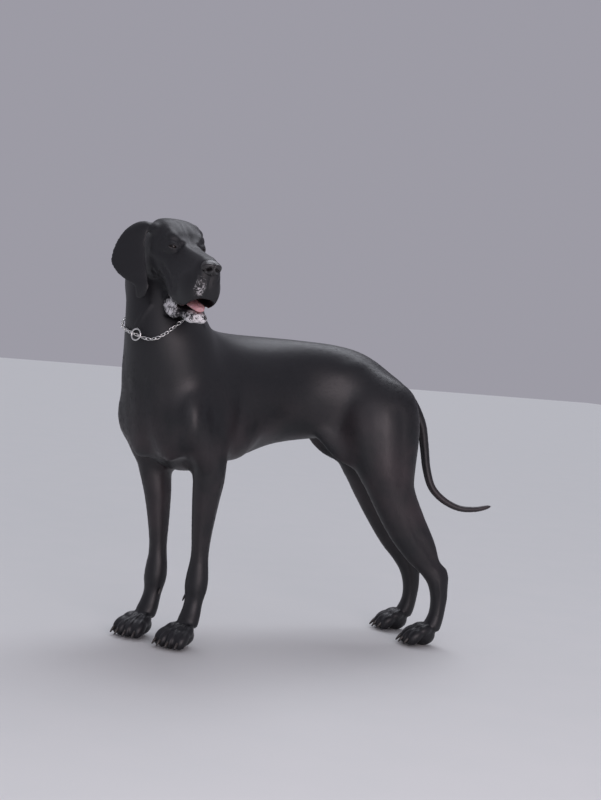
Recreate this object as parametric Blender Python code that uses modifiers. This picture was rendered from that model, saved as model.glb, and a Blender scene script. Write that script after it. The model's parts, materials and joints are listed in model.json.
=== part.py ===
"""A black Great Dane that stands and looks to its left, life size, as a still museum model.

The whole animal is built first as one form: lofts and muscle masses are joined by a voxel
remesh, the creases between them are filled, and the finer folds are pressed in. Thin cuts
then part it into the pieces that a person would name.

Metres, +Z up. The dog's chest points to -X and its left side to -Y. The origin is on the
floor under the middle of the object's box.
"""

import math

import bmesh
import bpy
import numpy as np
from mathutils import Matrix, Vector

# Between neighbouring pieces
GAP = 0.0003

# Vertices closer than this are one
WELD = 0.00005

# Puts the origin under the middle of the object's box
ORIGIN_SHIFT = Vector((0.3079, 0.0241, 0.0))

SIDES = ((1, "_left"), (-1, "_right"))

# The spine is straight over the pelvis and the chest and bends to the left between them.
# Places along it are measured forwards from the root of the tail.
BEND_START = 0.20
BEND_END = 0.60
PELVIS_TURN = math.radians(-20)
CHEST_TURN = math.radians(22)

# The head's place along the spine, out to the left and above the floor. It is turned from the
# dog's own course and tipped down.
HEAD_CENTRE = (0.820, 0.074, 0.993)
HEAD_TURN = math.radians(88)
HEAD_TIP = math.radians(12)

# In the head's own frame
EYE_RADIUS = 0.0125
EYE_PLACE = (0.013, 0.0370, 0.022)
EYE_COURSE = (0.86, 0.50, 0.10)
LID_LENGTH = 0.0115
LID_HEIGHT = 0.0044
LID_THICKNESS = 0.0020
MOUTH_CORNER = 0.016

# The left ear hangs further back and lies flatter than the right one
EAR_SPREAD = {1: 0.15, -1: 1.0}
EAR_BACK = {1: 0.040, -1: 0.0}
EAR_IN = {1: -0.010, -1: 0.0}
EAR_DROOP = 0.37

# Where the four toes of a foot lie across its half width
TOES = (-0.75, -0.27, 0.27, 0.75)
FOREPAW = (0.700, 0.077, 0.085, 0.088)
HINDPAW = (-0.112, 0.096, 0.080, 0.080)

# How much further forward and inwards a foot stands than its fellow, left and right
HIND_GATHER = {1: 0.0, -1: 0.026}
FORE_INWARDS = {1: 0.0, -1: 0.007}

# The sizes of the remeshed faces
BODY_VOXEL = 0.006
HEAD_VOXEL = 0.003
VOXEL = 0.004

# The middle of the neck at the chain collar, and the chain's heights at turns round it. The chain
# is lowest over the right of the throat, where its ring hangs, and rises to the nape.
COLLAR_CENTRE = (-0.752, 0.010)
COLLAR_COURSE = ((0, 0.880), (45, 0.872), (90, 0.850), (130, 0.822), (155, 0.806), (169, 0.800),
                 (202, 0.791), (232, 0.7775), (246, 0.787), (258, 0.806), (270, 0.829), (295, 0.850),
                 (330, 0.870))
COLLAR_REACH = 0.16
CHAIN_DEPTH = 0.0042
CHAIN_WIDTH = 0.0065
CHAIN_LIFT = 0.0044
RING_PLACE = (-0.8265, -0.0370, 0.7870)
RING_NORMAL = (-0.90, -0.42, 0.10)
RING_RADIUS = 0.0140
RING_WIRE = 0.0021
RING_LIFT = 0.0165

# Triangles after thinning, and how far each region may be thinned, from 0 (least) to 1
FLESH_TRIANGLES = 4530
JAW_TRIANGLES = 260
FACE_THINNING = 0.72
HEAD_THINNING = 0.92
FOOT_THINNING = 0.82
THINNING_CONTRAST = 3.0

# Below the first height the soles are pressed flat, and the press fades out up to the second
SOLE_PRESS = 0.007
SOLE_BLEND = 0.030


# Places on the animal

def spine_turn(along):
    """How far the spine's course is turned to the left at a place along it."""
    part = min(max((along - BEND_START) / (BEND_END - BEND_START), 0.0), 1.0)
    return PELVIS_TURN + (CHEST_TURN - PELVIS_TURN) * part


def spine_place(along):
    """The plan position of the spine at a place along it."""
    steps = 60
    start = min(along, 0.0)
    span = along - start
    x = start * math.cos(PELVIS_TURN)
    y = start * math.sin(PELVIS_TURN)
    for step in range(steps):
        turn = spine_turn(start + span * (step + 0.5) / steps)
        x += math.cos(turn) * span / steps
        y += math.sin(turn) * span / steps
    return x, y


def to_world(forward, left, up):
    """World place of a point given forwards, to the left and up in the dog's own terms."""
    return Vector((-forward, -left, up)) + ORIGIN_SHIFT


def body_axes(along):
    """Unit vectors forwards, to the left and up at a place along the spine."""
    turn = spine_turn(along)
    ahead = Vector((-math.cos(turn), -math.sin(turn), 0.0))
    left = Vector((math.sin(turn), -math.cos(turn), 0.0))
    return ahead, left, Vector((0.0, 0.0, 1.0))


def body_point(along, left, up):
    """World place of a point given along the spine, out to the left of it and above the floor."""
    x, y = spine_place(along)
    turn = spine_turn(along)
    return to_world(x - left * math.sin(turn), y + left * math.cos(turn), up)


def head_matrix():
    """The head's own frame: +X to the nose, +Y to its left, +Z to the crown."""
    x, y = spine_place(HEAD_CENTRE[0])
    turn = spine_turn(HEAD_CENTRE[0])
    side = HEAD_CENTRE[1]
    place = to_world(x - side * math.sin(turn), y + side * math.cos(turn), HEAD_CENTRE[2])
    face = Matrix.Rotation(math.pi + HEAD_TURN, 4, "Z")
    tip = Matrix.Rotation(HEAD_TIP, 4, "Y")
    return Matrix.Translation(place) @ face @ tip


# Shapes

def flow(rows, count):
    """Rows of numbers read from one smooth curve through the rows given."""
    table = np.array(rows, float)
    table = np.vstack([2 * table[0] - table[1], table, 2 * table[-1] - table[-2]])
    result = []
    for place in np.linspace(0.0, len(rows) - 1, count):
        index = min(int(place), len(rows) - 2)
        t = place - index
        p0, p1, p2, p3 = table[index:index + 4]
        curve = (2 * p1 + (p2 - p0) * t + (2 * p0 - 5 * p1 + 4 * p2 - p3) * t * t
                 + (3 * p1 - p0 - 3 * p2 + p3) * t ** 3)
        result.append(curve / 2)
    return result


def closed_curve(corners, count):
    """Points of a smooth closed curve through the corners."""
    around = list(corners[-2:]) + list(corners) + list(corners[:3])
    spots = flow(around, (len(around) - 1) * count + 1)
    first = 2 * count
    whole = spots[first:first + len(corners) * count]
    return whole[::len(corners)]


def oval(centre, across, upright, width, height, egg=0.0, sides=36):
    """A ring of points round a centre, wider above its middle than below it where egg is over 0."""
    ring = []
    for step in range(sides):
        angle = 2 * math.pi * step / sides
        reach = width * math.cos(angle) * (1 + egg * math.sin(angle))
        ring.append(centre + across * reach + upright * (height * math.sin(angle)))
    return ring


def loft(name, rings):
    """A closed mesh through a row of rings with like numbers of points."""
    shape = bmesh.new()
    rows = [[shape.verts.new(point) for point in ring] for ring in rings]
    for row, following in zip(rows, rows[1:]):
        for index in range(len(row)):
            other = (index + 1) % len(row)
            shape.faces.new((row[index], row[other], following[other], following[index]))
    shape.faces.new(list(reversed(rows[0])))
    shape.faces.new(rows[-1])
    bmesh.ops.recalc_face_normals(shape, faces=shape.faces)
    return finish_mesh(name, shape)


def finish_mesh(name, shape):
    """A mesh object from a bmesh."""
    mesh = bpy.data.meshes.new(name)
    shape.to_mesh(mesh)
    shape.free()
    piece = bpy.data.objects.new(name, mesh)
    bpy.context.scene.collection.objects.link(piece)
    return piece


def mass(name, matrix, radii, detail=4):
    """A muscle mass: an ellipsoid in a frame of its own."""
    shape = bmesh.new()
    bmesh.ops.create_icosphere(shape, subdivisions=detail, radius=1.0)
    bmesh.ops.transform(shape, matrix=matrix @ Matrix.Diagonal((*radii, 1.0)), verts=shape.verts)
    return finish_mesh(name, shape)


def frame_along(start, end, side):
    """A frame halfway between two points, with +Z from the first to the second and +Y to the side."""
    up = (end - start).normalized()
    ahead = side.cross(up).normalized()
    left = up.cross(ahead)
    turn = Matrix((ahead, left, up)).transposed().to_4x4()
    return Matrix.Translation((start + end) / 2) @ turn


def muscle(name, start, end, depth, breadth, spare=0.0):
    """A mass from one body place to another, with its depth along the body and its breadth across."""
    first = body_point(*start)
    last = body_point(*end)
    side = body_axes((start[0] + end[0]) / 2)[1]
    length = (last - first).length / 2 + spare
    return mass(name, frame_along(first, last, side), (depth, breadth, length))


def limb(name, rows, count=40):
    """A tapered length through body places: along, left, up, depth and breadth in each row."""
    places = flow(rows, count)
    points = [body_point(*row[:3]) for row in places]
    rings = []
    for index, row in enumerate(places):
        before = points[max(index - 1, 0)]
        after = points[min(index + 1, count - 1)]
        course = (after - before).normalized()
        side = body_axes(row[0])[1]
        ahead = side.cross(course).normalized()
        across = course.cross(ahead).normalized()
        rings.append(oval(points[index], ahead, across, row[3], row[4]))
    return loft(name, rings)


# Body

def make_trunk():
    """Chest, belly, loin and croup: along, top, bottom, half width, egg."""
    stations = [
        (-0.030, 0.680, 0.640, 0.030, 0.00),
        (-0.010, 0.716, 0.596, 0.062, 0.00),
        (0.050, 0.767, 0.575, 0.086, 0.00),
        (0.130, 0.806, 0.560, 0.104, 0.00),
        (0.210, 0.816, 0.542, 0.103, 0.00),
        (0.290, 0.818, 0.532, 0.104, 0.02),
        (0.370, 0.817, 0.516, 0.114, 0.06),
        (0.450, 0.815, 0.485, 0.128, 0.10),
        (0.530, 0.814, 0.460, 0.132, 0.14),
        (0.600, 0.820, 0.446, 0.128, 0.16),
        (0.660, 0.822, 0.442, 0.116, 0.16),
        (0.720, 0.795, 0.452, 0.104, 0.12),
        (0.780, 0.740, 0.490, 0.086, 0.05),
        (0.825, 0.670, 0.560, 0.050, 0.00),
    ]
    rings = []
    for along, top, bottom, width, egg in flow(stations, 80):
        centre = body_point(along, 0.0, (top + bottom) / 2)
        _, left, up = body_axes(along)
        rings.append(oval(centre, left, up, width, (top - bottom) / 2, egg, sides=48))
    return loft("trunk", rings)


def side_muscles(side, tag, table):
    """Muscles of one side, each with its name, start, end, depth, breadth and spare length."""
    parts = []
    for name, start, end, depth, breadth, spare in table:
        first = (start[0], side * start[1], start[2])
        last = (end[0], side * end[1], end[2])
        parts.append(muscle(name + tag, first, last, depth, breadth, spare))
    return parts


def make_shoulder(side, tag):
    """Shoulder blade, upper arm and breast muscles of one side."""
    table = (
        ("blade", (0.635, 0.050, 0.790), (0.765, 0.105, 0.590), 0.062, 0.040, 0.03),
        ("point", (0.765, 0.104, 0.640), (0.758, 0.106, 0.530), 0.043, 0.043, 0.02),
        ("triceps", (0.660, 0.096, 0.710), (0.655, 0.104, 0.450), 0.058, 0.041, 0.01),
        ("arm", (0.755, 0.106, 0.600), (0.665, 0.102, 0.450), 0.050, 0.043, 0.02),
        ("breast", (0.802, 0.040, 0.640), (0.770, 0.050, 0.480), 0.036, 0.046, 0.01),
        ("chest_side", (0.680, 0.060, 0.580), (0.480, 0.068, 0.560), 0.095, 0.062, 0.03),
    )
    return side_muscles(side, tag, table)


def make_foreleg(side, tag):
    """Forearm, wrist and pastern of one side."""
    inwards = FORE_INWARDS[side]
    rows = [
        (0.680, side * 0.098, 0.520, 0.056, 0.044),
        (0.666, side * (0.096 - inwards * 0.5), 0.445, 0.050, 0.041),
        (0.660, side * (0.088 - inwards), 0.390, 0.043, 0.037),
        (0.654, side * (0.080 - inwards), 0.310, 0.034, 0.030),
        (0.650, side * (0.076 - inwards), 0.235, 0.0275, 0.0250),
        (0.650, side * (0.075 - inwards), 0.185, 0.031, 0.032),
        (0.652, side * (0.075 - inwards), 0.150, 0.033, 0.033),
        (0.656, side * (0.075 - inwards), 0.115, 0.025, 0.027),
        (0.666, side * (0.076 - inwards), 0.078, 0.026, 0.030),
        (0.680, side * (0.077 - inwards), 0.050, 0.029, 0.033),
    ]
    return [limb("foreleg" + tag, rows)]


def paw_places(side):
    """Along, side place, length and width of the fore and the hind paw of one side."""
    fore = (FOREPAW[0], side * (FOREPAW[1] - FORE_INWARDS[side]), *FOREPAW[2:])
    hind = (HINDPAW[0] + HIND_GATHER[side], side * HINDPAW[1], *HINDPAW[2:])
    return (("_fore", fore), ("_hind", hind))


def make_paw(along, side_place, length, width, tag):
    """A foot of four arched toes over a main pad."""
    parts = [muscle("pad" + tag, (along - 0.026, side_place, 0.030), (along + 0.026, side_place, 0.034),
                    0.026, width * 0.42, 0.012)]
    for index, out in enumerate(TOES):
        knuckle, tip = toe_place(along, side_place, length, width, out)
        root = (along - 0.01, side_place + out * width * 0.30, 0.048)
        parts.append(muscle("toe_root%s%d" % (tag, index), root, knuckle, 0.017, 0.0170, 0.012))
        parts.append(muscle("toe%s%d" % (tag, index), knuckle, tip, 0.0165, 0.0172, 0.012))
    return parts


def make_hind(side, tag):
    """Croup, thigh, lower leg and hock of one side."""
    gather = HIND_GATHER[side]
    rows = [
        (0.092, side * 0.060, 0.735, 0.034, 0.022),
        (0.086, side * 0.072, 0.712, 0.070, 0.038),
        (0.076, side * 0.084, 0.680, 0.095, 0.051),
        (0.062, side * 0.096, 0.635, 0.110, 0.060),
        (0.050, side * 0.104, 0.545, 0.104, 0.060),
        (0.034, side * 0.106, 0.475, 0.082, 0.052),
        (0.014, side * 0.105, 0.415, 0.066, 0.044),
        (-0.031, side * 0.103, 0.335, 0.060, 0.036),
        (-0.081 + gather * 0.4, side * 0.100, 0.265, 0.051, 0.029),
        (-0.114 + gather * 0.8, side * 0.097, 0.220, 0.036, 0.024),
        (-0.138 + gather, side * 0.095, 0.188, 0.032, 0.026),
        (-0.150 + gather, side * 0.094, 0.145, 0.028, 0.025),
        (-0.150 + gather, side * 0.094, 0.100, 0.024, 0.024),
        (-0.143 + gather, side * 0.095, 0.066, 0.025, 0.029),
        (-0.133 + gather, side * 0.096, 0.045, 0.028, 0.032),
    ]
    table = (
        ("croup", (0.165, 0.048, 0.744), (0.030, 0.082, 0.668), 0.050, 0.042, 0.02),
        ("buttock", (-0.010, 0.062, 0.695), (-0.012, 0.090, 0.475), 0.045, 0.045, 0.02),
        ("thigh_front", (0.140, 0.090, 0.665), (0.080, 0.105, 0.430), 0.040, 0.042, 0.01),
        ("flank", (0.230, 0.070, 0.575), (0.120, 0.096, 0.495), 0.040, 0.018, 0.02),
    )
    heel = muscle("heel" + tag, (-0.156 + gather, side * 0.096, 0.222),
                  (-0.168 + gather, side * 0.094, 0.165), 0.015, 0.014, 0.008)
    return [limb("hind" + tag, rows, 60), heel] + side_muscles(side, tag, table)


def make_tail():
    """The tail hangs behind and curves up to one side at its tip."""
    rows = [
        (0.050, 0.000, 0.722, 0.026, 0.028),
        (0.004, 0.000, 0.708, 0.025, 0.027),
        (-0.041, 0.000, 0.668, 0.020, 0.021),
        (-0.078, 0.000, 0.610, 0.0165, 0.0175),
        (-0.094, 0.000, 0.548, 0.015, 0.016),
        (-0.106, 0.004, 0.485, 0.014, 0.0145),
        (-0.126, 0.010, 0.432, 0.013, 0.0135),
        (-0.164, 0.016, 0.398, 0.012, 0.012),
        (-0.210, 0.022, 0.380, 0.011, 0.011),
        (-0.256, 0.026, 0.381, 0.010, 0.010),
        (-0.290, 0.028, 0.390, 0.008, 0.008),
        (-0.302, 0.029, 0.394, 0.003, 0.003),
    ]
    return limb("tail", rows, 70)


def make_neck():
    """Neck from between the shoulders to the back of the skull, turning with the head."""
    head = head_matrix()
    nape = head @ Vector((-0.105, 0.0, -0.020))
    upper = head @ Vector((-0.150, 0.0, -0.085))
    rows = [
        (*body_point(0.670, -0.010, 0.620), 0.138, 0.165, CHEST_TURN),
        (*body_point(0.712, -0.018, 0.700), 0.140, 0.144, CHEST_TURN + 0.10),
        (*body_point(0.748, -0.012, 0.775), 0.118, 0.124, CHEST_TURN + 0.35),
        (*((upper + body_point(0.780, -0.004, 0.830)) / 2), 0.087, 0.100, CHEST_TURN + 0.65),
        (*upper, 0.074, 0.085, CHEST_TURN + 0.9),
        (*nape, 0.058, 0.070, HEAD_TURN),
    ]
    places = flow(rows, 40)
    points = [Vector(row[:3]) for row in places]
    rings = []
    for index, row in enumerate(places):
        course = (points[min(index + 1, 39)] - points[max(index - 1, 0)]).normalized()
        left = Vector((math.sin(row[5]), -math.cos(row[5]), 0.0))
        depth = course.cross(left).normalized()
        across = depth.cross(course).normalized()
        rings.append(oval(points[index], across, depth, row[3], row[4]))
    return loft("neck", rings)


# Head

def head_loft(name, matrix, stations, count=40, sides=36):
    """A loft along the head: forward, side, top, bottom, half width, egg."""
    rings = []
    for forward, side, top, bottom, width, egg in flow(stations, count):
        centre = matrix @ Vector((forward, side, (top + bottom) / 2))
        across = matrix.to_3x3() @ Vector((0.0, 1.0, 0.0))
        up = matrix.to_3x3() @ Vector((0.0, 0.0, 1.0))
        rings.append(oval(centre, across, up, width, (top - bottom) / 2, egg, sides))
    return loft(name, rings)


def head_mass(name, matrix, centre, radii, turn=(0.0, 0.0, 0.0), detail=4):
    """A mass on the head, turned about its own centre."""
    spin = Matrix.Rotation(turn[2], 4, "Z") @ Matrix.Rotation(turn[1], 4, "Y")
    spin = spin @ Matrix.Rotation(turn[0], 4, "X")
    return mass(name, matrix @ Matrix.Translation(centre) @ spin, radii, detail)


def head_shell(name, matrix, stations, count=60, sides=44):
    """A loft whose sections run from the top over an upper corner, the side and a lower corner.

    Each station holds the place forward, the top, three corners out and up, and the bottom.
    """
    rings = []
    for row in flow(stations, count):
        half = [(0.0, row[1]), (row[2], row[3]), (row[4], row[5]), (row[6], row[7]), (0.0, row[8])]
        outline = half + [(-out, up) for out, up in reversed(half[1:-1])]
        rings.append([matrix @ Vector((row[0], out, up)) for out, up in closed_curve(outline, sides)])
    return loft(name, rings)


def make_skull(matrix):
    """Cranium, muzzle and upper lips."""
    stations = [
        (-0.162, 0.018, 0.010, 0.012, 0.016, -0.006, 0.010, -0.024, -0.030),
        (-0.146, 0.050, 0.030, 0.040, 0.043, -0.002, 0.030, -0.042, -0.056),
        (-0.110, 0.073, 0.046, 0.061, 0.063, 0.002, 0.050, -0.056, -0.082),
        (-0.065, 0.079, 0.051, 0.067, 0.068, 0.006, 0.056, -0.060, -0.090),
        (-0.028, 0.073, 0.046, 0.061, 0.063, 0.008, 0.053, -0.056, -0.088),
        (0.000, 0.060, 0.041, 0.052, 0.056, 0.004, 0.049, -0.054, -0.086),
        (0.022, 0.044, 0.032, 0.038, 0.048, -0.006, 0.046, -0.070, -0.098),
        (0.050, 0.034, 0.026, 0.027, 0.042, -0.014, 0.046, -0.089, -0.108),
        (0.090, 0.030, 0.023, 0.023, 0.040, -0.016, 0.047, -0.094, -0.109),
        (0.125, 0.029, 0.022, 0.022, 0.039, -0.014, 0.045, -0.092, -0.105),
        (0.150, 0.028, 0.022, 0.020, 0.036, -0.012, 0.039, -0.078, -0.091),
        (0.166, 0.022, 0.018, 0.014, 0.030, -0.014, 0.031, -0.064, -0.073),
        (0.175, 0.008, 0.011, 0.002, 0.018, -0.016, 0.017, -0.036, -0.044),
    ]
    return [head_shell("skull", matrix, stations)]


def eye_frame(matrix, side):
    """A frame at an eye's centre: +X out of the eye, +Z up."""
    place = matrix @ Vector((EYE_PLACE[0], side * EYE_PLACE[1], EYE_PLACE[2]))
    ahead = (matrix.to_3x3() @ Vector((EYE_COURSE[0], side * EYE_COURSE[1], EYE_COURSE[2]))).normalized()
    crown = matrix.to_3x3() @ Vector((0.0, 0.0, 1.0))
    across = crown.cross(ahead).normalized()
    turn = Matrix((ahead, across, ahead.cross(across))).transposed().to_4x4()
    return Matrix.Translation(place) @ turn


def make_face(matrix):
    """Brows, cheeks, cheek bones, lids and the fullness of the upper lips."""
    parts = []
    for side, tag in SIDES:
        lid = EYE_RADIUS + LID_THICKNESS
        masses = (
            ("brow", (-0.004, 0.033, 0.042), (0.026, 0.021, 0.015), (0.45, 0.35)),
            ("temple", (-0.060, 0.044, 0.026), (0.046, 0.020, 0.034), (0.0, 0.0)),
            ("ear_base", (-0.068, 0.050, 0.046), (0.032, 0.024, 0.020), (0.0, 0.0)),
            ("cheek", (-0.060, 0.046, -0.034), (0.052, 0.022, 0.046), (0.0, 0.0)),
            ("arch", (-0.018, 0.048, -0.006), (0.044, 0.011, 0.012), (0.1, -0.28)),
            ("flew", (0.116, 0.028, -0.055), (0.052, 0.024, 0.048), (0.0, -0.04)),
            ("pad", (0.148, 0.018, -0.028), (0.025, 0.018, 0.028), (0.0, 0.0)),
        )
        for name, (forward, out, up), radii, (pitch, turn) in masses:
            centre = (forward, side * out, up)
            parts.append(head_mass(name + tag, matrix, centre, radii, (0.0, pitch, side * turn)))
        parts.append(mass("lids" + tag, eye_frame(matrix, side), (lid, lid + 0.0015, lid)))
    return parts


def make_lid_opening(matrix, side):
    """An almond-shaped cutter through the lids, out from the eye's centre."""
    frame = eye_frame(matrix, side)
    outline = []
    steps = 10
    for step in range(steps):
        place = -1 + 2 * step / steps
        outline.append((place, 1 - place * place))
    for step in range(steps):
        place = 1 - 2 * step / steps
        outline.append((place, place * place - 1))
    rings = []
    for reach, spread in ((0.25, 0.35), (1.0, 1.0), (2.2, 1.35)):
        ring = []
        for across, up in outline:
            spot = (EYE_RADIUS * reach, LID_LENGTH * across * spread, LID_HEIGHT * up * spread)
            ring.append(frame @ Vector(spot))
        rings.append(ring)
    return loft("lid_opening", rings)


def make_jaw(matrix, name="lower_jaw", with_lips=True):
    """The lower jaw, a little open, with its loose lower lips."""
    stations = [
        (-0.080, 0.0, -0.050, -0.094, 0.034, 0.0),
        (-0.040, 0.0, -0.062, -0.114, 0.036, 0.0),
        (0.010, 0.0, -0.086, -0.130, 0.033, 0.0),
        (0.060, 0.0, -0.102, -0.138, 0.032, 0.0),
        (0.105, 0.0, -0.107, -0.139, 0.031, 0.0),
        (0.138, 0.0, -0.107, -0.138, 0.028, 0.0),
        (0.156, 0.0, -0.111, -0.132, 0.021, 0.0),
    ]
    parts = [head_loft(name, matrix, stations)]
    if not with_lips:
        return parts[0]
    for side, tag in SIDES:
        lip = ((0.060, side * 0.034, -0.122), (0.050, 0.0115, 0.021))
        chin = ((0.132, side * 0.012, -0.125), (0.025, 0.017, 0.0145))
        parts.append(head_mass("lower_lip" + tag, matrix, *lip, (0.0, 0.10, 0.0)))
        parts.append(head_mass("chin" + tag, matrix, *chin))
    return join(name, parts)


def make_nose(matrix, name="nose", spare=0.0, detail=3):
    """The nose leather stands at the top of the muzzle's front."""
    radii = (0.021 + spare, 0.0255 + spare, 0.0185 + spare)
    return head_mass(name, matrix, (0.166, 0.0, 0.005), radii, (0, 0.12, 0), detail)


def make_mouth(matrix):
    """The space inside the upper lips, open below and in front, where the lower jaw goes."""
    stations = [
        (MOUTH_CORNER, 0.0, -0.080, -0.150, 0.0345, 0.0),
        (0.040, 0.0, -0.072, -0.160, 0.0345, 0.0),
        (0.100, 0.0, -0.066, -0.170, 0.0340, 0.0),
        (0.135, 0.0, -0.068, -0.175, 0.0320, 0.0),
        (0.160, 0.0, -0.072, -0.180, 0.0290, 0.0),
        (0.200, 0.0, -0.078, -0.185, 0.0270, 0.0),
    ]
    return head_box("mouth", matrix, stations)


def make_jaw_back(matrix):
    """What the lower jaw loses where it meets the head."""
    back = MOUTH_CORNER + GAP
    stations = [
        (-0.200, 0.0, 0.000, -0.200, 0.080, 0.0),
        ((back - 0.200) / 2, 0.0, 0.000, -0.200, 0.080, 0.0),
        (back, 0.0, 0.000, -0.200, 0.080, 0.0),
    ]
    return head_box("jaw_back", matrix, stations)


def head_box(name, matrix, stations):
    """A loft of oblong sections along the head: forward, side, top, bottom, half width."""
    rings = []
    for forward, side, top, bottom, width, _ in flow(stations, 12):
        corners = ((-width, bottom), (width, bottom), (width, top - 0.012), (width * 0.5, top),
                   (-width * 0.5, top), (-width, top - 0.012))
        rings.append([matrix @ Vector((forward, side + out, up)) for out, up in corners])
    return loft(name, rings)


def make_tongue(matrix, name="tongue", spare=0.0):
    """The tongue lies on the lower jaw, its tip just behind the front lip."""
    stations = [
        (0.034 - spare, 0.0, -0.090, -0.099, 0.008, 0.0),
        (0.060, 0.0, -0.086, -0.103, 0.019, 0.0),
        (0.100, 0.0, -0.087, -0.105, 0.020, 0.0),
        (0.136, 0.0, -0.090, -0.107, 0.019, 0.0),
        (0.151 + spare, 0.0, -0.096, -0.108, 0.010, 0.0),
    ]
    grown = [(row[0], row[1], row[2] + spare, row[3] - spare, row[4] + spare, row[5]) for row in stations]
    return head_loft(name, matrix, grown, 9, sides=12)


def make_ear(matrix, side, name, sides=36, count=44):
    """A hanging ear: it rises from its root, folds over and drops forwards, its rear edge flared.

    Each row holds the front edge's place, the width, half the thickness and the flare in degrees.
    """
    rows = [
        (-0.062, 0.038, 0.024, 0.040, 0.0120, 0),
        (-0.066, 0.053, 0.047, 0.046, 0.0110, 8),
        (-0.067, 0.067, 0.055, 0.054, 0.0090, 20),
        (-0.065, 0.075, 0.042, 0.070, 0.0066, 32),
        (-0.059, 0.079, 0.010, 0.085, 0.0054, 38),
        (-0.038, 0.080, -0.025, 0.094, 0.0050, 42),
        (-0.018, 0.080, -0.050, 0.083, 0.0050, 42),
        (-0.006, 0.078, -0.068, 0.066, 0.0050, 40),
        (0.004, 0.077, -0.083, 0.042, 0.0048, 38),
        (0.004, 0.078, -0.098, 0.036, 0.0046, 36),
        (-0.003, 0.080, -0.113, 0.025, 0.0040, 36),
        (-0.012, 0.082, -0.121, 0.008, 0.0026, 36),
    ]
    places = flow(rows, count)
    backwards = []
    points = []
    for row in places:
        flare = math.radians(row[5]) * EAR_SPREAD[side]
        backwards.append(Vector((-math.cos(flare), side * math.sin(flare), -EAR_DROOP * flare)))
        front = Vector((row[0] - EAR_BACK[side], side * (row[1] - EAR_IN[side]), row[2]))
        points.append(front + backwards[-1] * (row[3] / 2))
    rings = []
    for index, row in enumerate(places):
        course = (points[min(index + 1, count - 1)] - points[max(index - 1, 0)]).normalized()
        thick = course.cross(backwards[index]).normalized()
        ring = oval(points[index], backwards[index], thick, row[3] / 2, row[4], sides=sides)
        rings.append([matrix @ point for point in ring])
    return loft(name, rings)


# Joining

def select_only(pieces):
    """Make these pieces the selection, the first of them active."""
    bpy.ops.object.select_all(action="DESELECT")
    for piece in pieces:
        piece.select_set(True)
    bpy.context.view_layer.objects.active = pieces[0]


def apply_modifier(piece, kind, **settings):
    """Add a modifier with these settings and apply it."""
    modifier = piece.modifiers.new(kind.title(), kind)
    for name, value in settings.items():
        setattr(modifier, name, value)
    select_only([piece])
    bpy.ops.object.modifier_apply(modifier=modifier.name)


def join(name, pieces):
    """One object from several, their bodies still separate."""
    select_only(pieces)
    bpy.ops.object.join()
    pieces[0].name = name
    pieces[0].data.name = name
    return pieces[0]


def melt(piece, voxel):
    """Turn overlapping bodies into one closed skin of even faces."""
    apply_modifier(piece, "REMESH", mode="VOXEL", voxel_size=voxel)


def swell(piece, distance):
    """Move the whole surface out, or in where the distance is under 0."""
    apply_modifier(piece, "DISPLACE", strength=distance, mid_level=0.0)


def soften(piece, voxel, radius):
    """Even out bumps up to about a radius across."""
    apply_modifier(piece, "SMOOTH", factor=0.5, iterations=max(1, round((radius / voxel) ** 2)))


def fill_creases(piece, voxel, radius):
    """Join overlapping bodies and round the creases between them."""
    melt(piece, voxel)
    swell(piece, radius)
    melt(piece, voxel)
    swell(piece, -radius)
    melt(piece, voxel)


def clear_scene():
    """Start from an empty scene."""
    for item in list(bpy.data.objects):
        bpy.data.objects.remove(item, do_unlink=True)


def weld(piece):
    """Merge vertices that a cut left almost on top of one another."""
    shape = bmesh.new()
    shape.from_mesh(piece.data)
    bmesh.ops.remove_doubles(shape, verts=shape.verts, dist=WELD)
    bmesh.ops.dissolve_degenerate(shape, edges=shape.edges, dist=WELD)
    shape.to_mesh(piece.data)
    shape.free()
    piece.data.update()


def cut_away(piece, cutter):
    """Take the cutter's space out of a piece and remove the cutter."""
    apply_modifier(piece, "BOOLEAN", operation="DIFFERENCE", object=cutter)
    bpy.data.objects.remove(cutter, do_unlink=True)
    weld(piece)


def make_body_form(matrix):
    """Trunk, neck, limbs and the back of the skull with the creases between them filled."""
    tail_root = muscle("tail_root", (0.050, 0.0, 0.722), (-0.036, 0.0, 0.668), 0.024, 0.026)
    parts = [make_trunk(), make_neck(), tail_root] + make_skull(matrix)
    for side, tag in SIDES:
        parts += make_shoulder(side, tag)
        parts += make_foreleg(side, tag)
        parts += make_hind(side, tag)
    body = join("body", parts)
    fill_creases(body, BODY_VOXEL, 0.016)
    soften(body, BODY_VOXEL, 0.018)
    return body


def make_head_form(matrix):
    """The head with its brows, cheeks, lids and lips, and the root of the lower jaw."""
    head = join("head", make_skull(matrix) + make_face(matrix) + [make_jaw(matrix, "jaw_root", False)])
    fill_creases(head, HEAD_VOXEL, 0.006)
    soften(head, HEAD_VOXEL, 0.005)
    return head


def make_feet():
    """The toes and pads of all four feet."""
    parts = []
    for side, tag in SIDES:
        for end, place in paw_places(side):
            parts += make_paw(*place, end + tag)
    return parts


def make_flesh(matrix):
    """Everything but the eyes, ears, jaw, nose, tongue, claws and collar, as one closed form."""
    flesh = join("flesh", [make_body_form(matrix), make_head_form(matrix), make_tail()] + make_feet())
    melt(flesh, VOXEL)
    soften(flesh, VOXEL, 0.007)
    cut_away(flesh, make_mouth(matrix))
    flatten_soles(flesh)
    return flesh


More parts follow.
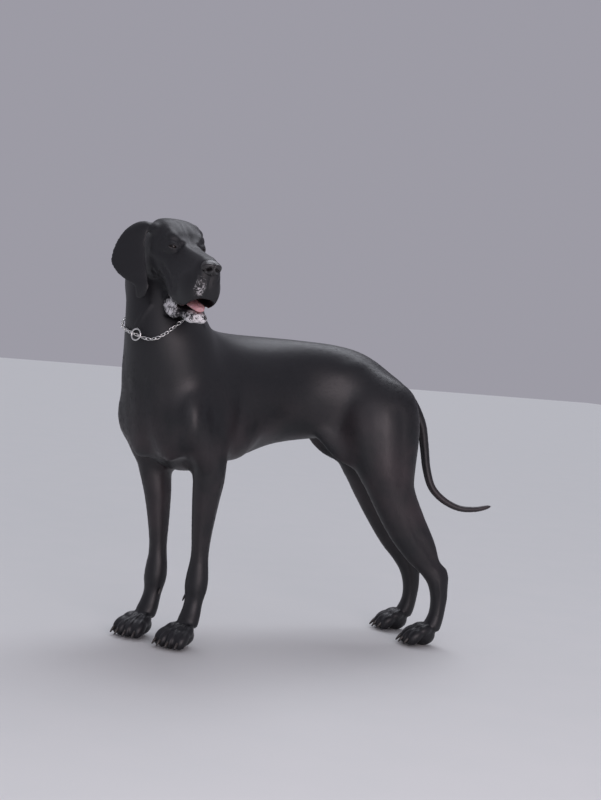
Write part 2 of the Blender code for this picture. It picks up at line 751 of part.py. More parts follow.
def flatten_soles(piece):
    """Press what reaches below the floor up to it, so that every foot has small flats at one level."""
    mesh = piece.data
    places = np.empty(len(mesh.vertices) * 3)
    mesh.vertices.foreach_get("co", places)
    places = places.reshape(-1, 3)
    places[:, 2] = np.where(places[:, 2] < SOLE_PRESS, 0.0, places[:, 2])
    near = (places[:, 2] >= SOLE_PRESS) & (places[:, 2] < SOLE_BLEND)
    stretch = SOLE_BLEND / (SOLE_BLEND - SOLE_PRESS)
    places[near, 2] = (places[near, 2] - SOLE_PRESS) * stretch
    mesh.vertices.foreach_set("co", places.ravel())
    mesh.update()


# Small parts

def make_eye(matrix, side, name, spare=0.0, rings=8, sides=12):
    """An eyeball, its poles on the line it looks along."""
    frame = eye_frame(matrix, side)
    radius = EYE_RADIUS + spare
    shape = bmesh.new()
    bmesh.ops.create_uvsphere(shape, u_segments=sides, v_segments=rings, radius=radius)
    turn = frame @ Matrix.Rotation(math.pi / 2, 4, "Y")
    bmesh.ops.transform(shape, matrix=turn, verts=shape.verts)
    return finish_mesh(name, shape)


def make_claw(name, root, tip, radius, sides=5):
    """A claw that curves down from its root to its blunt tip."""
    rings = []
    for reach, size, rise in ((0.0, 1.0, 0.0), (0.55, 0.82, 0.0012), (1.0, 0.42, -0.0006)):
        centre = root.lerp(tip, reach) + Vector((0.0, 0.0, rise))
        course = (tip - root).normalized()
        side = course.cross(Vector((0.0, 0.0, 1.0))).normalized()
        wide, high = radius * size * 0.8, radius * size
        rings.append(oval(centre, side, side.cross(course), wide, high, sides=sides))
    return loft(name, rings)


def make_torus(name, centre, normal, radius, wire, count=18, sides=5):
    """A round ring of wire."""
    turn = normal.to_track_quat("Z", "Y").to_matrix()
    rows = []
    shape = bmesh.new()
    for step in range(count):
        angle = 2 * math.pi * step / count
        out = turn @ Vector((math.cos(angle), math.sin(angle), 0.0))
        ring = oval(centre + out * radius, out, normal, wire, wire, sides=sides)
        rows.append([shape.verts.new(point) for point in ring])
    close_rows(shape, rows)
    return finish_mesh(name, shape)


def close_rows(shape, rows):
    """Faces between rows of vertices that form a closed loop."""
    for row, following in zip(rows, rows[1:] + rows[:1]):
        for index in range(len(row)):
            other = (index + 1) % len(row)
            shape.faces.new((row[index], row[other], following[other], following[index]))
    bmesh.ops.recalc_face_normals(shape, faces=shape.faces)


def collar_height(turn):
    """How high the chain lies at a turn in degrees round the neck."""
    turns = [degrees for degrees, _ in COLLAR_COURSE]
    heights = [height for _, height in COLLAR_COURSE]
    return float(np.interp(turn, turns + [360], heights + heights[:1]))


def collar_loop(body, count, lift):
    """Places round the neck where the collar lies, each with its way outwards."""
    loop = []
    for step in range(count):
        turn = 360 * step / count
        height = sum(collar_height((turn + shift) % 360) for shift in (-9, -3, 3, 9)) / 4
        out = Vector((math.cos(math.radians(turn)), math.sin(math.radians(turn)), 0.0))
        centre = Vector((*COLLAR_CENTRE, height)) + ORIGIN_SHIFT
        hit, place, _, _ = body.ray_cast(centre + out * COLLAR_REACH, -out)
        assert hit, "the collar misses the neck"
        loop.append((place + out * lift, out))
    return loop


def make_chain(body, count=36, sides=5):
    """The chain collar as one band of wire round the neck."""
    loop = collar_loop(body, count, CHAIN_DEPTH + CHAIN_LIFT)
    shape = bmesh.new()
    rows = []
    for index, (place, out) in enumerate(loop):
        course = loop[(index + 1) % count][0] - loop[index - 1][0]
        across = course.cross(out).normalized()
        ring = oval(place, out, across, CHAIN_DEPTH, CHAIN_WIDTH, sides=sides)
        rows.append([shape.verts.new(point) for point in ring])
    close_rows(shape, rows)
    return finish_mesh("collar_chain", shape)


def make_collar_ring():
    """The ring that the chain runs through, flat on the right of the throat."""
    normal = Vector(RING_NORMAL).normalized()
    centre = Vector(RING_PLACE) + ORIGIN_SHIFT + normal * RING_LIFT
    return make_torus("collar_ring", centre, normal, RING_RADIUS, RING_WIRE)


def toe_place(along, side_place, length, width, out):
    """Body places of a toe's knuckle and tip."""
    reach = length * (0.50 if abs(out) > 0.5 else 0.62)
    knuckle = (along + reach * 0.35, side_place + out * width * 0.46, 0.040)
    tip = (along + reach, side_place + out * width * 0.54, 0.020)
    return knuckle, tip


def make_claws(side, tag, sides=5):
    """The claws of one side's two paws, and the dewclaw inside its wrist."""
    claws = []
    for end, (along, side_place, length, width) in paw_places(side):
        for index, out in enumerate(TOES):
            _, tip = toe_place(along, side_place, length, width, out)
            root = body_point(tip[0] + 0.006, tip[1], tip[2] + 0.004)
            point = body_point(tip[0] + 0.0215, tip[1] + out * 0.003, 0.0075)
            claws.append(make_claw("claw%s%s_%d" % (end, tag, index + 1), root, point, 0.0048, sides))
    inner = side * (0.075 - FORE_INWARDS[side] - 0.028)
    root = body_point(0.656, inner, 0.128)
    point = body_point(0.667, inner - side * 0.001, 0.110)
    claws.append(make_claw("dewclaw" + tag, root, point, 0.0042, sides))
    return claws


# Parting into pieces

def plate(centre, normal, along, length, breadth):
    """A slab as thick as the gap, with its length along one direction."""
    first = along.normalized()
    second = normal.cross(first).normalized()
    turn = Matrix((first, second, normal.normalized())).transposed().to_4x4()
    shape = bmesh.new()
    bmesh.ops.create_cube(shape, size=1.0)
    size = Matrix.Diagonal((2 * length, 2 * breadth, GAP, 1.0))
    bmesh.ops.transform(shape, matrix=Matrix.Translation(centre) @ turn @ size, verts=shape.verts)
    return finish_mesh("plate", shape)


def body_plate(place, slope, length, breadth):
    """A slab across the body at a place, its normal given forwards and upwards."""
    ahead, left, up = body_axes(place[0])
    normal = (ahead * slope[0] + up * slope[1]).normalized()
    return plate(body_point(*place), normal, left.cross(normal), length, breadth)


def head_plate(matrix):
    """The slab between the head and the neck, from behind the skull to under the jaw."""
    turn = matrix.to_3x3()
    normal = turn @ Vector((1.0, 0.0, 1.0)).normalized()
    along = turn @ Vector((1.0, 0.0, -1.0))
    return plate(matrix @ Vector((-0.0725, 0.0, -0.0490)), normal, along, 0.230, 0.160)


def thigh_plate():
    """The slab between the trunk and both thighs, with a notch behind that leaves the tail whole."""
    place = (0.085, 0.0, 0.5425)
    front, rear, notch, half, clear = 0.215, -0.215, -0.138, 0.200, 0.023
    outline = ((front, -half), (front, half), (rear, half), (rear, clear), (notch, clear),
               (notch, -clear), (rear, -clear), (rear, -half))
    ahead, left, up = body_axes(place[0])
    normal = (ahead * 0.368 + up * 0.930).normalized()
    along = left.cross(normal)
    centre = body_point(*place)
    rings = []
    for level in (-GAP / 2, GAP / 2):
        rings.append([centre + along * reach + left * out + normal * level for reach, out in outline])
    return loft("thigh_plate", rings)


def make_plates(matrix):
    """All the slabs that part the form into its pieces."""
    plates = [
        head_plate(matrix),
        body_plate((0.7575, 0.0, 0.7475), (0.836, 0.549), 0.220, 0.210),
        body_plate((-0.076, 0.0, 0.615), (0.371, 0.928), 0.026, 0.026),
        thigh_plate(),
    ]
    for side, _ in SIDES:
        inwards = FORE_INWARDS[side]
        gather = HIND_GATHER[side]
        plates += [
            body_plate((0.662, side * (0.094 - inwards), 0.437), (0.0, 1.0), 0.075, 0.058),
            body_plate((0.650, side * (0.075 - inwards), 0.205), (0.0, 1.0), 0.050, 0.045),
            body_plate((0.664, side * (0.076 - inwards), 0.088), (0.0, 1.0), 0.050, 0.048),
            body_plate((0.018, side * 0.105, 0.425), (0.30, 0.954), 0.095, 0.065),
            body_plate((-0.108 + gather * 0.8, side * 0.097, 0.226), (0.65, 0.76), 0.055, 0.040),
            body_plate((-0.146 + gather, side * 0.0945, 0.076), (0.0, 1.0), 0.045, 0.045),
        ]
    return plates


def piece_anchors(matrix):
    """A place near the middle of each piece of the parted form."""
    anchors = {
        "head": matrix @ Vector((0.0, 0.0, 0.0)),
        "neck": (matrix @ Vector((-0.150, 0.0, -0.100)) + body_point(0.760, 0.0, 0.800)) / 2,
        "trunk": body_point(0.400, 0.0, 0.650),
        "tail": body_point(-0.130, 0.010, 0.450),
    }
    for side, tag in SIDES:
        gather = HIND_GATHER[side]
        anchors["forearm" + tag] = body_point(0.656, side * 0.080, 0.320)
        anchors["fore_pastern" + tag] = body_point(0.653, side * 0.075, 0.145)
        anchors["fore_paw" + tag] = body_point(0.695, side * 0.076, 0.035)
        anchors["thigh" + tag] = body_point(0.055, side * 0.105, 0.490)
        anchors["lower_leg" + tag] = body_point(-0.040, side * 0.103, 0.320)
        anchors["hock" + tag] = body_point(-0.148 + gather, side * 0.095, 0.140)
        anchors["hind_paw" + tag] = body_point(-0.115 + gather, side * 0.096, 0.035)
    return anchors


def detail_weights(piece, matrix):
    """Mark how far each place may be thinned: least on the face and the feet."""
    group = piece.vertex_groups.new(name="thin")
    for vertex in piece.data.vertices:
        place = vertex.co - ORIGIN_SHIFT
        on_head = (matrix.inverted() @ vertex.co)
        weight = 1.0
        if on_head.length < 0.20 and on_head.x > -0.03:
            weight = FACE_THINNING
        elif on_head.length < 0.20:
            weight = HEAD_THINNING
        elif place.z < 0.075:
            weight = FOOT_THINNING
        group.add([vertex.index], weight, "REPLACE")


def thin_out(piece, matrix, target):
    """Bring a form down to about a number of triangles, keeping its shape."""
    detail_weights(piece, matrix)
    triangles = 2 * len(piece.data.vertices)
    apply_modifier(piece, "DECIMATE", ratio=target / triangles, vertex_group="thin",
                   vertex_group_factor=THINNING_CONTRAST, use_collapse_triangulate=True)
    piece.vertex_groups.clear()


def loose_pieces(piece):
    """The separate bodies of an object, as objects."""
    select_only([piece])
    bpy.ops.object.mode_set(mode="EDIT")
    bpy.ops.mesh.select_all(action="SELECT")
    bpy.ops.mesh.separate(type="LOOSE")
    bpy.ops.object.mode_set(mode="OBJECT")
    return list(bpy.context.selected_objects)


def middle(piece):
    """The mean place of an object's vertices."""
    total = Vector((0.0, 0.0, 0.0))
    for vertex in piece.data.vertices:
        total += vertex.co
    return total / len(piece.data.vertices)


def part_form(flesh, matrix):
    """Cut the form along the slabs and name each piece by the nearest anchor."""
    for slab in make_plates(matrix):
        cut_away(flesh, slab)
    anchors = piece_anchors(matrix)
    pieces = {}
    for piece in loose_pieces(flesh):
        centre = middle(piece)
        name = min(anchors, key=lambda key: (anchors[key] - centre).length)
        assert name not in pieces, "two pieces lie nearest to " + name
        piece.name = name
        piece.data.name = name
        pieces[name] = piece
    assert len(pieces) == len(anchors), "missing: " + ", ".join(set(anchors) - set(pieces))
    return pieces


def keep_largest(piece, name):
    """Drop the small bodies that a cut left beside the main one."""
    bodies = loose_pieces(piece)
    bodies.sort(key=lambda body: len(body.data.vertices))
    for body in bodies[:-1]:
        bpy.data.objects.remove(body, do_unlink=True)
    bodies[-1].name = name
    bodies[-1].data.name = name
    return bodies[-1]


def fit_against(piece, name, other):
    """Trim a piece so that it stands a gap away from another."""
    cutter = other.copy()
    cutter.data = other.data.copy()
    bpy.context.scene.collection.objects.link(cutter)
    swell(cutter, GAP)
    cut_away(piece, cutter)
    return keep_largest(piece, name)


# Materials and handing over

def make_material(name, color, roughness, metallic=0.0):
    """A plain material."""
    material = bpy.data.materials.new(name)
    material.use_nodes = True
    shader = material.node_tree.nodes["Principled BSDF"]
    shader.inputs["Base Color"].default_value = (*color, 1.0)
    shader.inputs["Roughness"].default_value = roughness
    shader.inputs["Metallic"].default_value = metallic
    material.diffuse_color = (*color, 1.0)
    return material


def hand_over(pieces, material, collection):
    """Give pieces their material, shade them smooth and put them in the object's collection."""
    for piece in pieces:
        piece.data.materials.clear()
        piece.data.materials.append(material)
        piece.data.shade_smooth()
        for owner in list(piece.users_collection):
            owner.objects.unlink(piece)
        collection.objects.link(piece)


def build():
    """Make the whole dog."""
    clear_scene()
    matrix = head_matrix()
    flesh = make_flesh(matrix)
    thin_out(flesh, matrix, FLESH_TRIANGLES)
    bpy.context.view_layer.update()
    chain = make_chain(flesh)
    ring = make_collar_ring()
    cut_away(flesh, make_nose(matrix, "nose_space", GAP, 2))
    eyes = []
    for side, tag in SIDES:
        cut_away(flesh, make_eye(matrix, side, "eye_space", GAP))
        cut_away(flesh, make_lid_opening(matrix, side))
        eyes.append(make_eye(matrix, side, "eye" + tag))
    pieces = part_form(flesh, matrix)
    head = pieces["head"]
    for name in ("neck", "trunk", "head"):
        chain = fit_against(chain, "collar_chain", pieces[name])
    jaw = make_jaw(matrix)
    melt(jaw, HEAD_VOXEL)
    soften(jaw, HEAD_VOXEL, 0.005)
    thin_out(jaw, matrix, JAW_TRIANGLES)
    cut_away(jaw, make_jaw_back(matrix))
    for other in (pieces["neck"], head, chain):
        jaw = fit_against(jaw, "lower_jaw", other)
    cut_away(jaw, make_tongue(matrix, "tongue_space", GAP))
    tongue = make_tongue(matrix)
    nose = make_nose(matrix, detail=2)
    ears = []
    for side, tag in SIDES:
        ear = make_ear(matrix, side, "ear" + tag, sides=12, count=13)
        ear = fit_against(ear, "ear" + tag, head)
        ears.append(fit_against(ear, "ear" + tag, pieces["neck"]))
    claws = []
    for side, tag in SIDES:
        for claw in make_claws(side, tag):
            owner = pieces[claw_owner(claw.name, tag)]
            claws.append(fit_against(claw, claw.name, owner))
    collection = bpy.data.collections.new("great_dane")
    bpy.context.scene.collection.children.link(collection)
    coat = make_material("coat", (0.012, 0.012, 0.015), 0.38)
    hand_over(list(pieces.values()) + [jaw] + ears, coat, collection)
    hand_over([nose], make_material("nose_leather", (0.015, 0.014, 0.015), 0.42), collection)
    hand_over([tongue], make_material("tongue", (0.45, 0.17, 0.17), 0.35), collection)
    hand_over(eyes, make_material("eye", (0.030, 0.015, 0.008), 0.10), collection)
    hand_over(claws, make_material("claw", (0.030, 0.028, 0.028), 0.40), collection)
    hand_over([chain, ring], make_material("collar_metal", (0.72, 0.72, 0.70), 0.25, 1.0), collection)


def claw_owner(name, tag):
    """The piece that a claw grows from."""
    if name.startswith("dewclaw"):
        return "fore_pastern" + tag
    return ("fore_paw" if "_fore" in name else "hind_paw") + tag


if __name__ == "__main__":
    build()
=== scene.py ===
"""The looks of a black Great Dane that stands and looks to its left, life size.

The skin is built from the same lofts and muscle masses as the solids, joined into one closed form,
and then gets its folds, tendons and toes. A short coat of thin tufts lies over it. The eyes, nose,
tongue, claws and chain collar are pieces of their own.

Metres, +Z up. The dog's chest points to -X and its left side to -Y. The tables of shapes are in
millimetres and go through metres().
"""

import json
import math

import bmesh
import bpy
import numpy as np
from mathutils import Matrix, Vector
from mathutils.bvhtree import BVHTree

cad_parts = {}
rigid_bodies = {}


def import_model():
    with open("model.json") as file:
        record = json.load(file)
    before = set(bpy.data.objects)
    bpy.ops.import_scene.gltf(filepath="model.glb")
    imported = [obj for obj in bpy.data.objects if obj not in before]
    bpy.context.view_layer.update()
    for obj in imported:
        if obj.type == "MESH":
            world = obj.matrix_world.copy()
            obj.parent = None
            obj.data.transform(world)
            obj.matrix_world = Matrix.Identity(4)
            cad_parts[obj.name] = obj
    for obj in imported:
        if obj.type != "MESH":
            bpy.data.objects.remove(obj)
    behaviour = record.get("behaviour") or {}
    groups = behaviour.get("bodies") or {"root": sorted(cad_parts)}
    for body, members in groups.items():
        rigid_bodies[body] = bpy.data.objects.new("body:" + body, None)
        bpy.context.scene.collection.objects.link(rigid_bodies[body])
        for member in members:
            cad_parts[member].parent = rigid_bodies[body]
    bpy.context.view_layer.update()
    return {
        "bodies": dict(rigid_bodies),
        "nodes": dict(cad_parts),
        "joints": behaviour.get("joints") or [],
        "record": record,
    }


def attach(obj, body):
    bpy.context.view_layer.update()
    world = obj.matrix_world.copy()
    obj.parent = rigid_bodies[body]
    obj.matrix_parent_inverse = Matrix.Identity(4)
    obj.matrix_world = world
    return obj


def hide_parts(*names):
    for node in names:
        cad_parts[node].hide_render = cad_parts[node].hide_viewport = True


# Between neighbouring pieces
GAP = 0.0003

# Vertices closer than this are one
WELD = 0.00005

# Puts the origin under the middle of the object's box
ORIGIN_SHIFT = Vector((0.3079, 0.0241, 0.0))

UP = Vector((0.0, 0.0, 1.0))
SIDES = ((1, "_left"), (-1, "_right"))

# The spine is straight over the pelvis and the chest and bends to the left between them.
# Places along it are measured forwards from the root of the tail.
BEND_START = 0.20
BEND_END = 0.60
PELVIS_TURN = math.radians(-20)
CHEST_TURN = math.radians(22)

# The head's place along the spine, out to the left and above the floor. It is turned from the
# dog's own course and tipped down.
HEAD_CENTRE = (0.820, 0.074, 0.993)
HEAD_TURN = math.radians(88)
HEAD_TIP = math.radians(12)

# In the head's own frame
EYE_RADIUS = 0.0125
EYE_PLACE = (0.013, 0.0370, 0.022)
EYE_COURSE = (0.86, 0.50, 0.10)
LID_LENGTH = 0.0115
LID_HEIGHT = 0.0044
LID_THICKNESS = 0.0020
NOSE_OVERLAP = 0.0012
FACE_MIDDLE = (0.05, 0.0, -0.03)

# Places closer to the middle of the head than this are on it
HEAD_REACH = 0.21

# The left ear hangs further back and lies flatter than the right one
EAR_SPREAD = {1: 0.15, -1: 1.0}
EAR_BACK = {1: 0.040, -1: 0.0}
EAR_IN = {1: -0.010, -1: 0.0}
EAR_DROOP = 0.37

# How far in degrees the rear edge stands out at each row of an ear
EAR_FLARES = (0, 8, 20, 32, 38, 42, 42, 40, 38, 36, 36, 36)

# Where the four toes of a foot lie across its half width
TOES = (-0.75, -0.27, 0.27, 0.75)

# Where a paw stands along the spine and out, its length and its width
FOREPAW = (0.700, 0.077, 0.085, 0.088)
HINDPAW = (-0.112, 0.096, 0.080, 0.080)

# How much further forward and inwards a foot stands than its fellow, left and right
HIND_GATHER = {1: 0.0, -1: 0.026}
FORE_INWARDS = {1: 0.0, -1: 0.007}

CLAW_RADIUS = 0.0048
DEWCLAW_RADIUS = 0.0042
CLAW_SIDES = 14

# The sizes of the remeshed faces, how far creases are filled, and how far bumps are evened out
BODY_VOXEL = 0.006
BODY_CREASE = 0.016
BODY_SOFTNESS = 0.018
HEAD_VOXEL = 0.003
HEAD_CREASE = 0.006
HEAD_SOFTNESS = 0.005

# The middle of the neck at the chain collar, and the chain's heights at turns round it. The chain
# is lowest over the right of the throat, where its ring hangs, and rises to the nape.
COLLAR_CENTRE = (-0.752, 0.010)
COLLAR_COURSE = ((0, 0.880), (45, 0.872), (90, 0.850), (130, 0.822), (155, 0.806), (169, 0.800),
                 (202, 0.791), (232, 0.7775), (246, 0.787), (258, 0.806), (270, 0.829), (295, 0.850),
                 (330, 0.870))
COLLAR_REACH = 0.16
CHAIN_DEPTH = 0.0042
CHAIN_GAP = 0.0004

# Its height is evened out over these turns, in degrees
COLLAR_EASE = (-9, -3, 3, 9)

RING_PLACE = (-0.8265, -0.0370, 0.7870)
RING_NORMAL = (-0.90, -0.42, 0.10)
RING_RADIUS = 0.0140
RING_WIRE = 0.0021
RING_LIFT = 0.0165

# Below the first height the soles are pressed flat, and the press fades out up to the second
SOLE_PRESS = 0.007
SOLE_BLEND = 0.030


# Places on the animal

def metres(table):
    """A nested table of millimetres in metres. Names in it stay as they are."""
    if isinstance(table, (tuple, list)):
        return [metres(part) for part in table]
    return table if isinstance(table, str) else table / 1000


def spine_turn(along):
    """How far the spine's course is turned to the left at a place along it."""
    part = min(max((along - BEND_START) / (BEND_END - BEND_START), 0.0), 1.0)
    return PELVIS_TURN + (CHEST_TURN - PELVIS_TURN) * part


def spine_place(along):
    """The plan position of the spine at a place along it."""
    steps = 60
    start = min(along, 0.0)
    span = along - start
    x = start * math.cos(PELVIS_TURN)
    y = start * math.sin(PELVIS_TURN)
    for step in range(steps):
        turn = spine_turn(start + span * (step + 0.5) / steps)
        x += math.cos(turn) * span / steps
        y += math.sin(turn) * span / steps
    return x, y


def left_of(along):
    """The way to the dog's left at a place along its spine."""
    turn = spine_turn(along)
    return Vector((math.sin(turn), -math.cos(turn), 0.0))


def body_point(along, left, up):
    """World place of a point given along the spine, out to the left of it and above the floor."""
    x, y = spine_place(along)
    turn = spine_turn(along)
    return Vector((left * math.sin(turn) - x, -left * math.cos(turn) - y, up)) + ORIGIN_SHIFT


def stand(side, along, out, up, fore=0.0, hind=0.0):
    """A body place on one side, moved by a share of what its fore or hind foot stands off by."""
    return along + HIND_GATHER[side] * hind, side * (out - FORE_INWARDS[side] * fore), up


def head_matrix():
    """The head's own frame: +X to the nose, +Y to its left, +Z to the crown."""
    face = Matrix.Rotation(math.pi + HEAD_TURN, 4, "Z")
    tip = Matrix.Rotation(HEAD_TIP, 4, "Y")
    return Matrix.Translation(body_point(*HEAD_CENTRE)) @ face @ tip


# Shapes

def flow(rows, count):
    """Rows of numbers read from one smooth curve through the rows given."""
    table = np.array(rows, float)
    table = np.vstack([2 * table[0] - table[1], table, 2 * table[-1] - table[-2]])
    result = []
    for place in np.linspace(0.0, len(rows) - 1, count):
        index = min(int(place), len(rows) - 2)
        t = place - index
        p0, p1, p2, p3 = table[index:index + 4]
        curve = (2 * p1 + (p2 - p0) * t + (2 * p0 - 5 * p1 + 4 * p2 - p3) * t * t
                 + (3 * p1 - p0 - 3 * p2 + p3) * t ** 3)
        result.append(curve / 2)
    return result


def closed_curve(corners, count):
    """Points of a smooth closed curve through the corners."""
    around = list(corners[-2:]) + list(corners) + list(corners[:3])
    spots = flow(around, (len(around) - 1) * count + 1)
    first = 2 * count
    whole = spots[first:first + len(corners) * count]
    return whole[::len(corners)]


def oval(centre, across, upright, width, height, egg=0.0, sides=36):
    """A ring of points round a centre, wider above its middle than below it where egg is over 0."""
    ring = []
    for step in range(sides):
        angle = 2 * math.pi * step / sides
        reach = width * math.cos(angle) * (1 + egg * math.sin(angle))
        ring.append(centre + across * reach + upright * (height * math.sin(angle)))
    return ring


def course_at(points, index):
    """The way a row of points runs at one of them."""
    before = points[max(index - 1, 0)]
    after = points[min(index + 1, len(points) - 1)]
    return (after - before).normalized()


def bridge(shape, rows):
    """Faces between neighbouring rows of vertices."""
    for row, following in zip(rows, rows[1:]):
        for index in range(len(row)):
            other = (index + 1) % len(row)
            shape.faces.new((row[index], row[other], following[other], following[index]))


def loft(name, rings):
    """A closed mesh through a row of rings with like numbers of points."""
    shape = bmesh.new()
    rows = [[shape.verts.new(point) for point in ring] for ring in rings]
    bridge(shape, rows)
    shape.faces.new(list(reversed(rows[0])))
    shape.faces.new(rows[-1])
    bmesh.ops.recalc_face_normals(shape, faces=shape.faces)
    return finish_mesh(name, shape)


def finish_mesh(name, shape):
    """A mesh object from a bmesh."""
    mesh = bpy.data.meshes.new(name)
    shape.to_mesh(mesh)
    shape.free()
    piece = bpy.data.objects.new(name, mesh)
    bpy.context.scene.collection.objects.link(piece)
    return piece


def mass(name, matrix, radii, detail=4):
    """A muscle mass: an ellipsoid in a frame of its own."""
    shape = bmesh.new()
    bmesh.ops.create_icosphere(shape, subdivisions=detail, radius=1.0)
    bmesh.ops.transform(shape, matrix=matrix @ Matrix.Diagonal((*radii, 1.0)), verts=shape.verts)
    return finish_mesh(name, shape)


def frame_at(place, ahead, left, up):
    """A frame at a place with these axes."""
    return Matrix.Translation(place) @ Matrix((ahead, left, up)).transposed().to_4x4()


def frame_along(start, end, side):
    """A frame halfway between two points, with +Z from the first to the second and +Y to the side."""
    up = (end - start).normalized()
    ahead = side.cross(up).normalized()
    return frame_at((start + end) / 2, ahead, up.cross(ahead), up)


def muscle(name, start, end, depth, breadth, spare=0.0):
    """A mass from one body place to another, with its depth along the body and its breadth across."""
    first = body_point(*start)
    last = body_point(*end)
    side = left_of((start[0] + end[0]) / 2)
    length = (last - first).length / 2 + spare
    return mass(name, frame_along(first, last, side), (depth, breadth, length))


def limb(name, rows, count=40):
    """A tapered length through body places: along, left, up, depth and breadth in each row."""
    places = flow(rows, count)
    points = [body_point(*row[:3]) for row in places]
    rings = []
    for index, row in enumerate(places):
        course = course_at(points, index)
        ahead = left_of(row[0]).cross(course).normalized()
        across = course.cross(ahead).normalized()
        rings.append(oval(points[index], ahead, across, row[3], row[4]))
    return loft(name, rings)


# Body

def make_trunk():
    """Chest, belly, loin and croup: along, top, bottom, half width, and the egg in thousandths."""
    stations = metres([
        (-30, 680, 640, 30, 0),
        (-10, 716, 596, 62, 0),
        (50, 767, 575, 86, 0),
        (130, 806, 560, 104, 0),
        (210, 816, 542, 103, 0),
        (290, 818, 532, 104, 20),
        (370, 817, 516, 114, 60),
        (450, 815, 485, 128, 100),
        (530, 814, 460, 132, 140),
        (600, 820, 446, 128, 160),
        (660, 822, 442, 116, 160),
        (720, 795, 452, 104, 120),
        (780, 740, 490, 86, 50),
        (825, 670, 560, 50, 0),
    ])
    rings = []
    for along, top, bottom, width, egg in flow(stations, 80):
        centre = body_point(along, 0.0, (top + bottom) / 2)
        rings.append(oval(centre, left_of(along), UP, width, (top - bottom) / 2, egg, sides=48))
    return loft("trunk", rings)


def side_muscles(side, tag, table):
    """Muscles of one side, each with its name, start, end, depth, breadth and spare length."""
    parts = []
    for name, start, end, *sizes in table:
        parts.append(muscle(name + tag, stand(side, *start), stand(side, *end), *sizes))
    return parts


def make_shoulder(side, tag):
    """Shoulder blade, upper arm and breast muscles of one side."""
    table = metres((
        ("blade", (635, 50, 790), (765, 105, 590), 62, 40, 30),
        ("point", (765, 104, 640), (758, 106, 530), 43, 43, 20),
        ("triceps", (660, 96, 710), (655, 104, 450), 58, 41, 10),
        ("arm", (755, 106, 600), (665, 102, 450), 50, 43, 20),
        ("breast", (802, 40, 640), (770, 50, 480), 36, 46, 10),
        ("chest_side", (680, 60, 580), (480, 68, 560), 95, 62, 30),
    ))
    return side_muscles(side, tag, table)


def make_foreleg(side, tag):
    """Forearm, wrist and pastern of one side.

    Each row holds the place along, out and up, the depth, the breadth and the share of the foot's
    own shift in thousandths.
    """
    table = metres((
        (680, 98, 520, 56, 44, 0),
        (666, 96, 445, 50, 41, 500),
        (660, 88, 390, 43, 37, 1000),
        (654, 80, 310, 34, 30, 1000),
        (650, 76, 235, 27.5, 25, 1000),
        (650, 75, 185, 31, 32, 1000),
        (652, 75, 150, 33, 33, 1000),
        (656, 75, 115, 25, 27, 1000),
        (666, 76, 78, 26, 30, 1000),
        (680, 77, 50, 29, 33, 1000),
    ))
    rows = [(*stand(side, *row[:3], fore=row[5]), *row[3:5]) for row in table]
    return [limb("foreleg" + tag, rows)]


def paw_places(side):
    """Along, side place, length and width of the fore and the hind paw of one side."""
    fore = (FOREPAW[0], side * (FOREPAW[1] - FORE_INWARDS[side]), *FOREPAW[2:])
    hind = (HINDPAW[0] + HIND_GATHER[side], side * HINDPAW[1], *HINDPAW[2:])
    return (("_fore", fore), ("_hind", hind))


def make_paw(along, side_place, length, width, tag):
    """A foot of four arched toes over a main pad."""
    back, front = (along - 0.026, side_place, 0.030), (along + 0.026, side_place, 0.034)
    parts = [muscle("pad" + tag, back, front, 0.026, width * 0.42, 0.012)]
    for index, out in enumerate(TOES):
        knuckle, tip = toe_place(along, side_place, length, width, out)
        root = (along - 0.01, side_place + out * width * 0.30, 0.048)
        parts.append(muscle("toe_root%s%d" % (tag, index), root, knuckle, 0.017, 0.0170, 0.012))
        parts.append(muscle("toe%s%d" % (tag, index), knuckle, tip, 0.0165, 0.0172, 0.012))
    return parts


def make_hind(side, tag):
    """Croup, thigh, lower leg and hock of one side, with the columns of the foreleg."""
    table = metres((
        (92, 60, 735, 34, 22, 0),
        (86, 72, 712, 70, 38, 0),
        (76, 84, 680, 95, 51, 0),
        (62, 96, 635, 110, 60, 0),
        (50, 104, 545, 104, 60, 0),
        (34, 106, 475, 82, 52, 0),
        (14, 105, 415, 66, 44, 0),
        (-31, 103, 335, 60, 36, 0),
        (-81, 100, 265, 51, 29, 400),
        (-114, 97, 220, 36, 24, 800),
        (-138, 95, 188, 32, 26, 1000),
        (-150, 94, 145, 28, 25, 1000),
        (-150, 94, 100, 24, 24, 1000),
        (-143, 95, 66, 25, 29, 1000),
        (-133, 96, 45, 28, 32, 1000),
    ))
    muscles = metres((
        ("croup", (165, 48, 744), (30, 82, 668), 50, 42, 20),
        ("buttock", (-10, 62, 695), (-12, 90, 475), 45, 45, 20),
        ("thigh_front", (140, 90, 665), (80, 105, 430), 40, 42, 10),
        ("flank", (230, 70, 575), (120, 96, 495), 40, 18, 20),
    ))
    rows = [(*stand(side, *row[:3], hind=row[5]), *row[3:5]) for row in table]
    top = stand(side, -0.156, 0.096, 0.222, hind=1.0)
    low = stand(side, -0.168, 0.094, 0.165, hind=1.0)
    heel = muscle("heel" + tag, top, low, 0.015, 0.014, 0.008)
    return [limb("hind" + tag, rows, 60), heel] + side_muscles(side, tag, muscles)


def make_tail():
    """The tail hangs behind and curves up to one side at its tip."""
    rows = metres([
        (50, 0, 722, 26, 28),
        (4, 0, 708, 25, 27),
        (-41, 0, 668, 20, 21),
        (-78, 0, 610, 16.5, 17.5),
        (-94, 0, 548, 15, 16),
        (-106, 4, 485, 14, 14.5),
        (-126, 10, 432, 13, 13.5),
        (-164, 16, 398, 12, 12),
        (-210, 22, 380, 11, 11),
        (-256, 26, 381, 10, 10),
        (-290, 28, 390, 8, 8),
        (-302, 29, 394, 3, 3),
    ])
    return limb("tail", rows, 70)


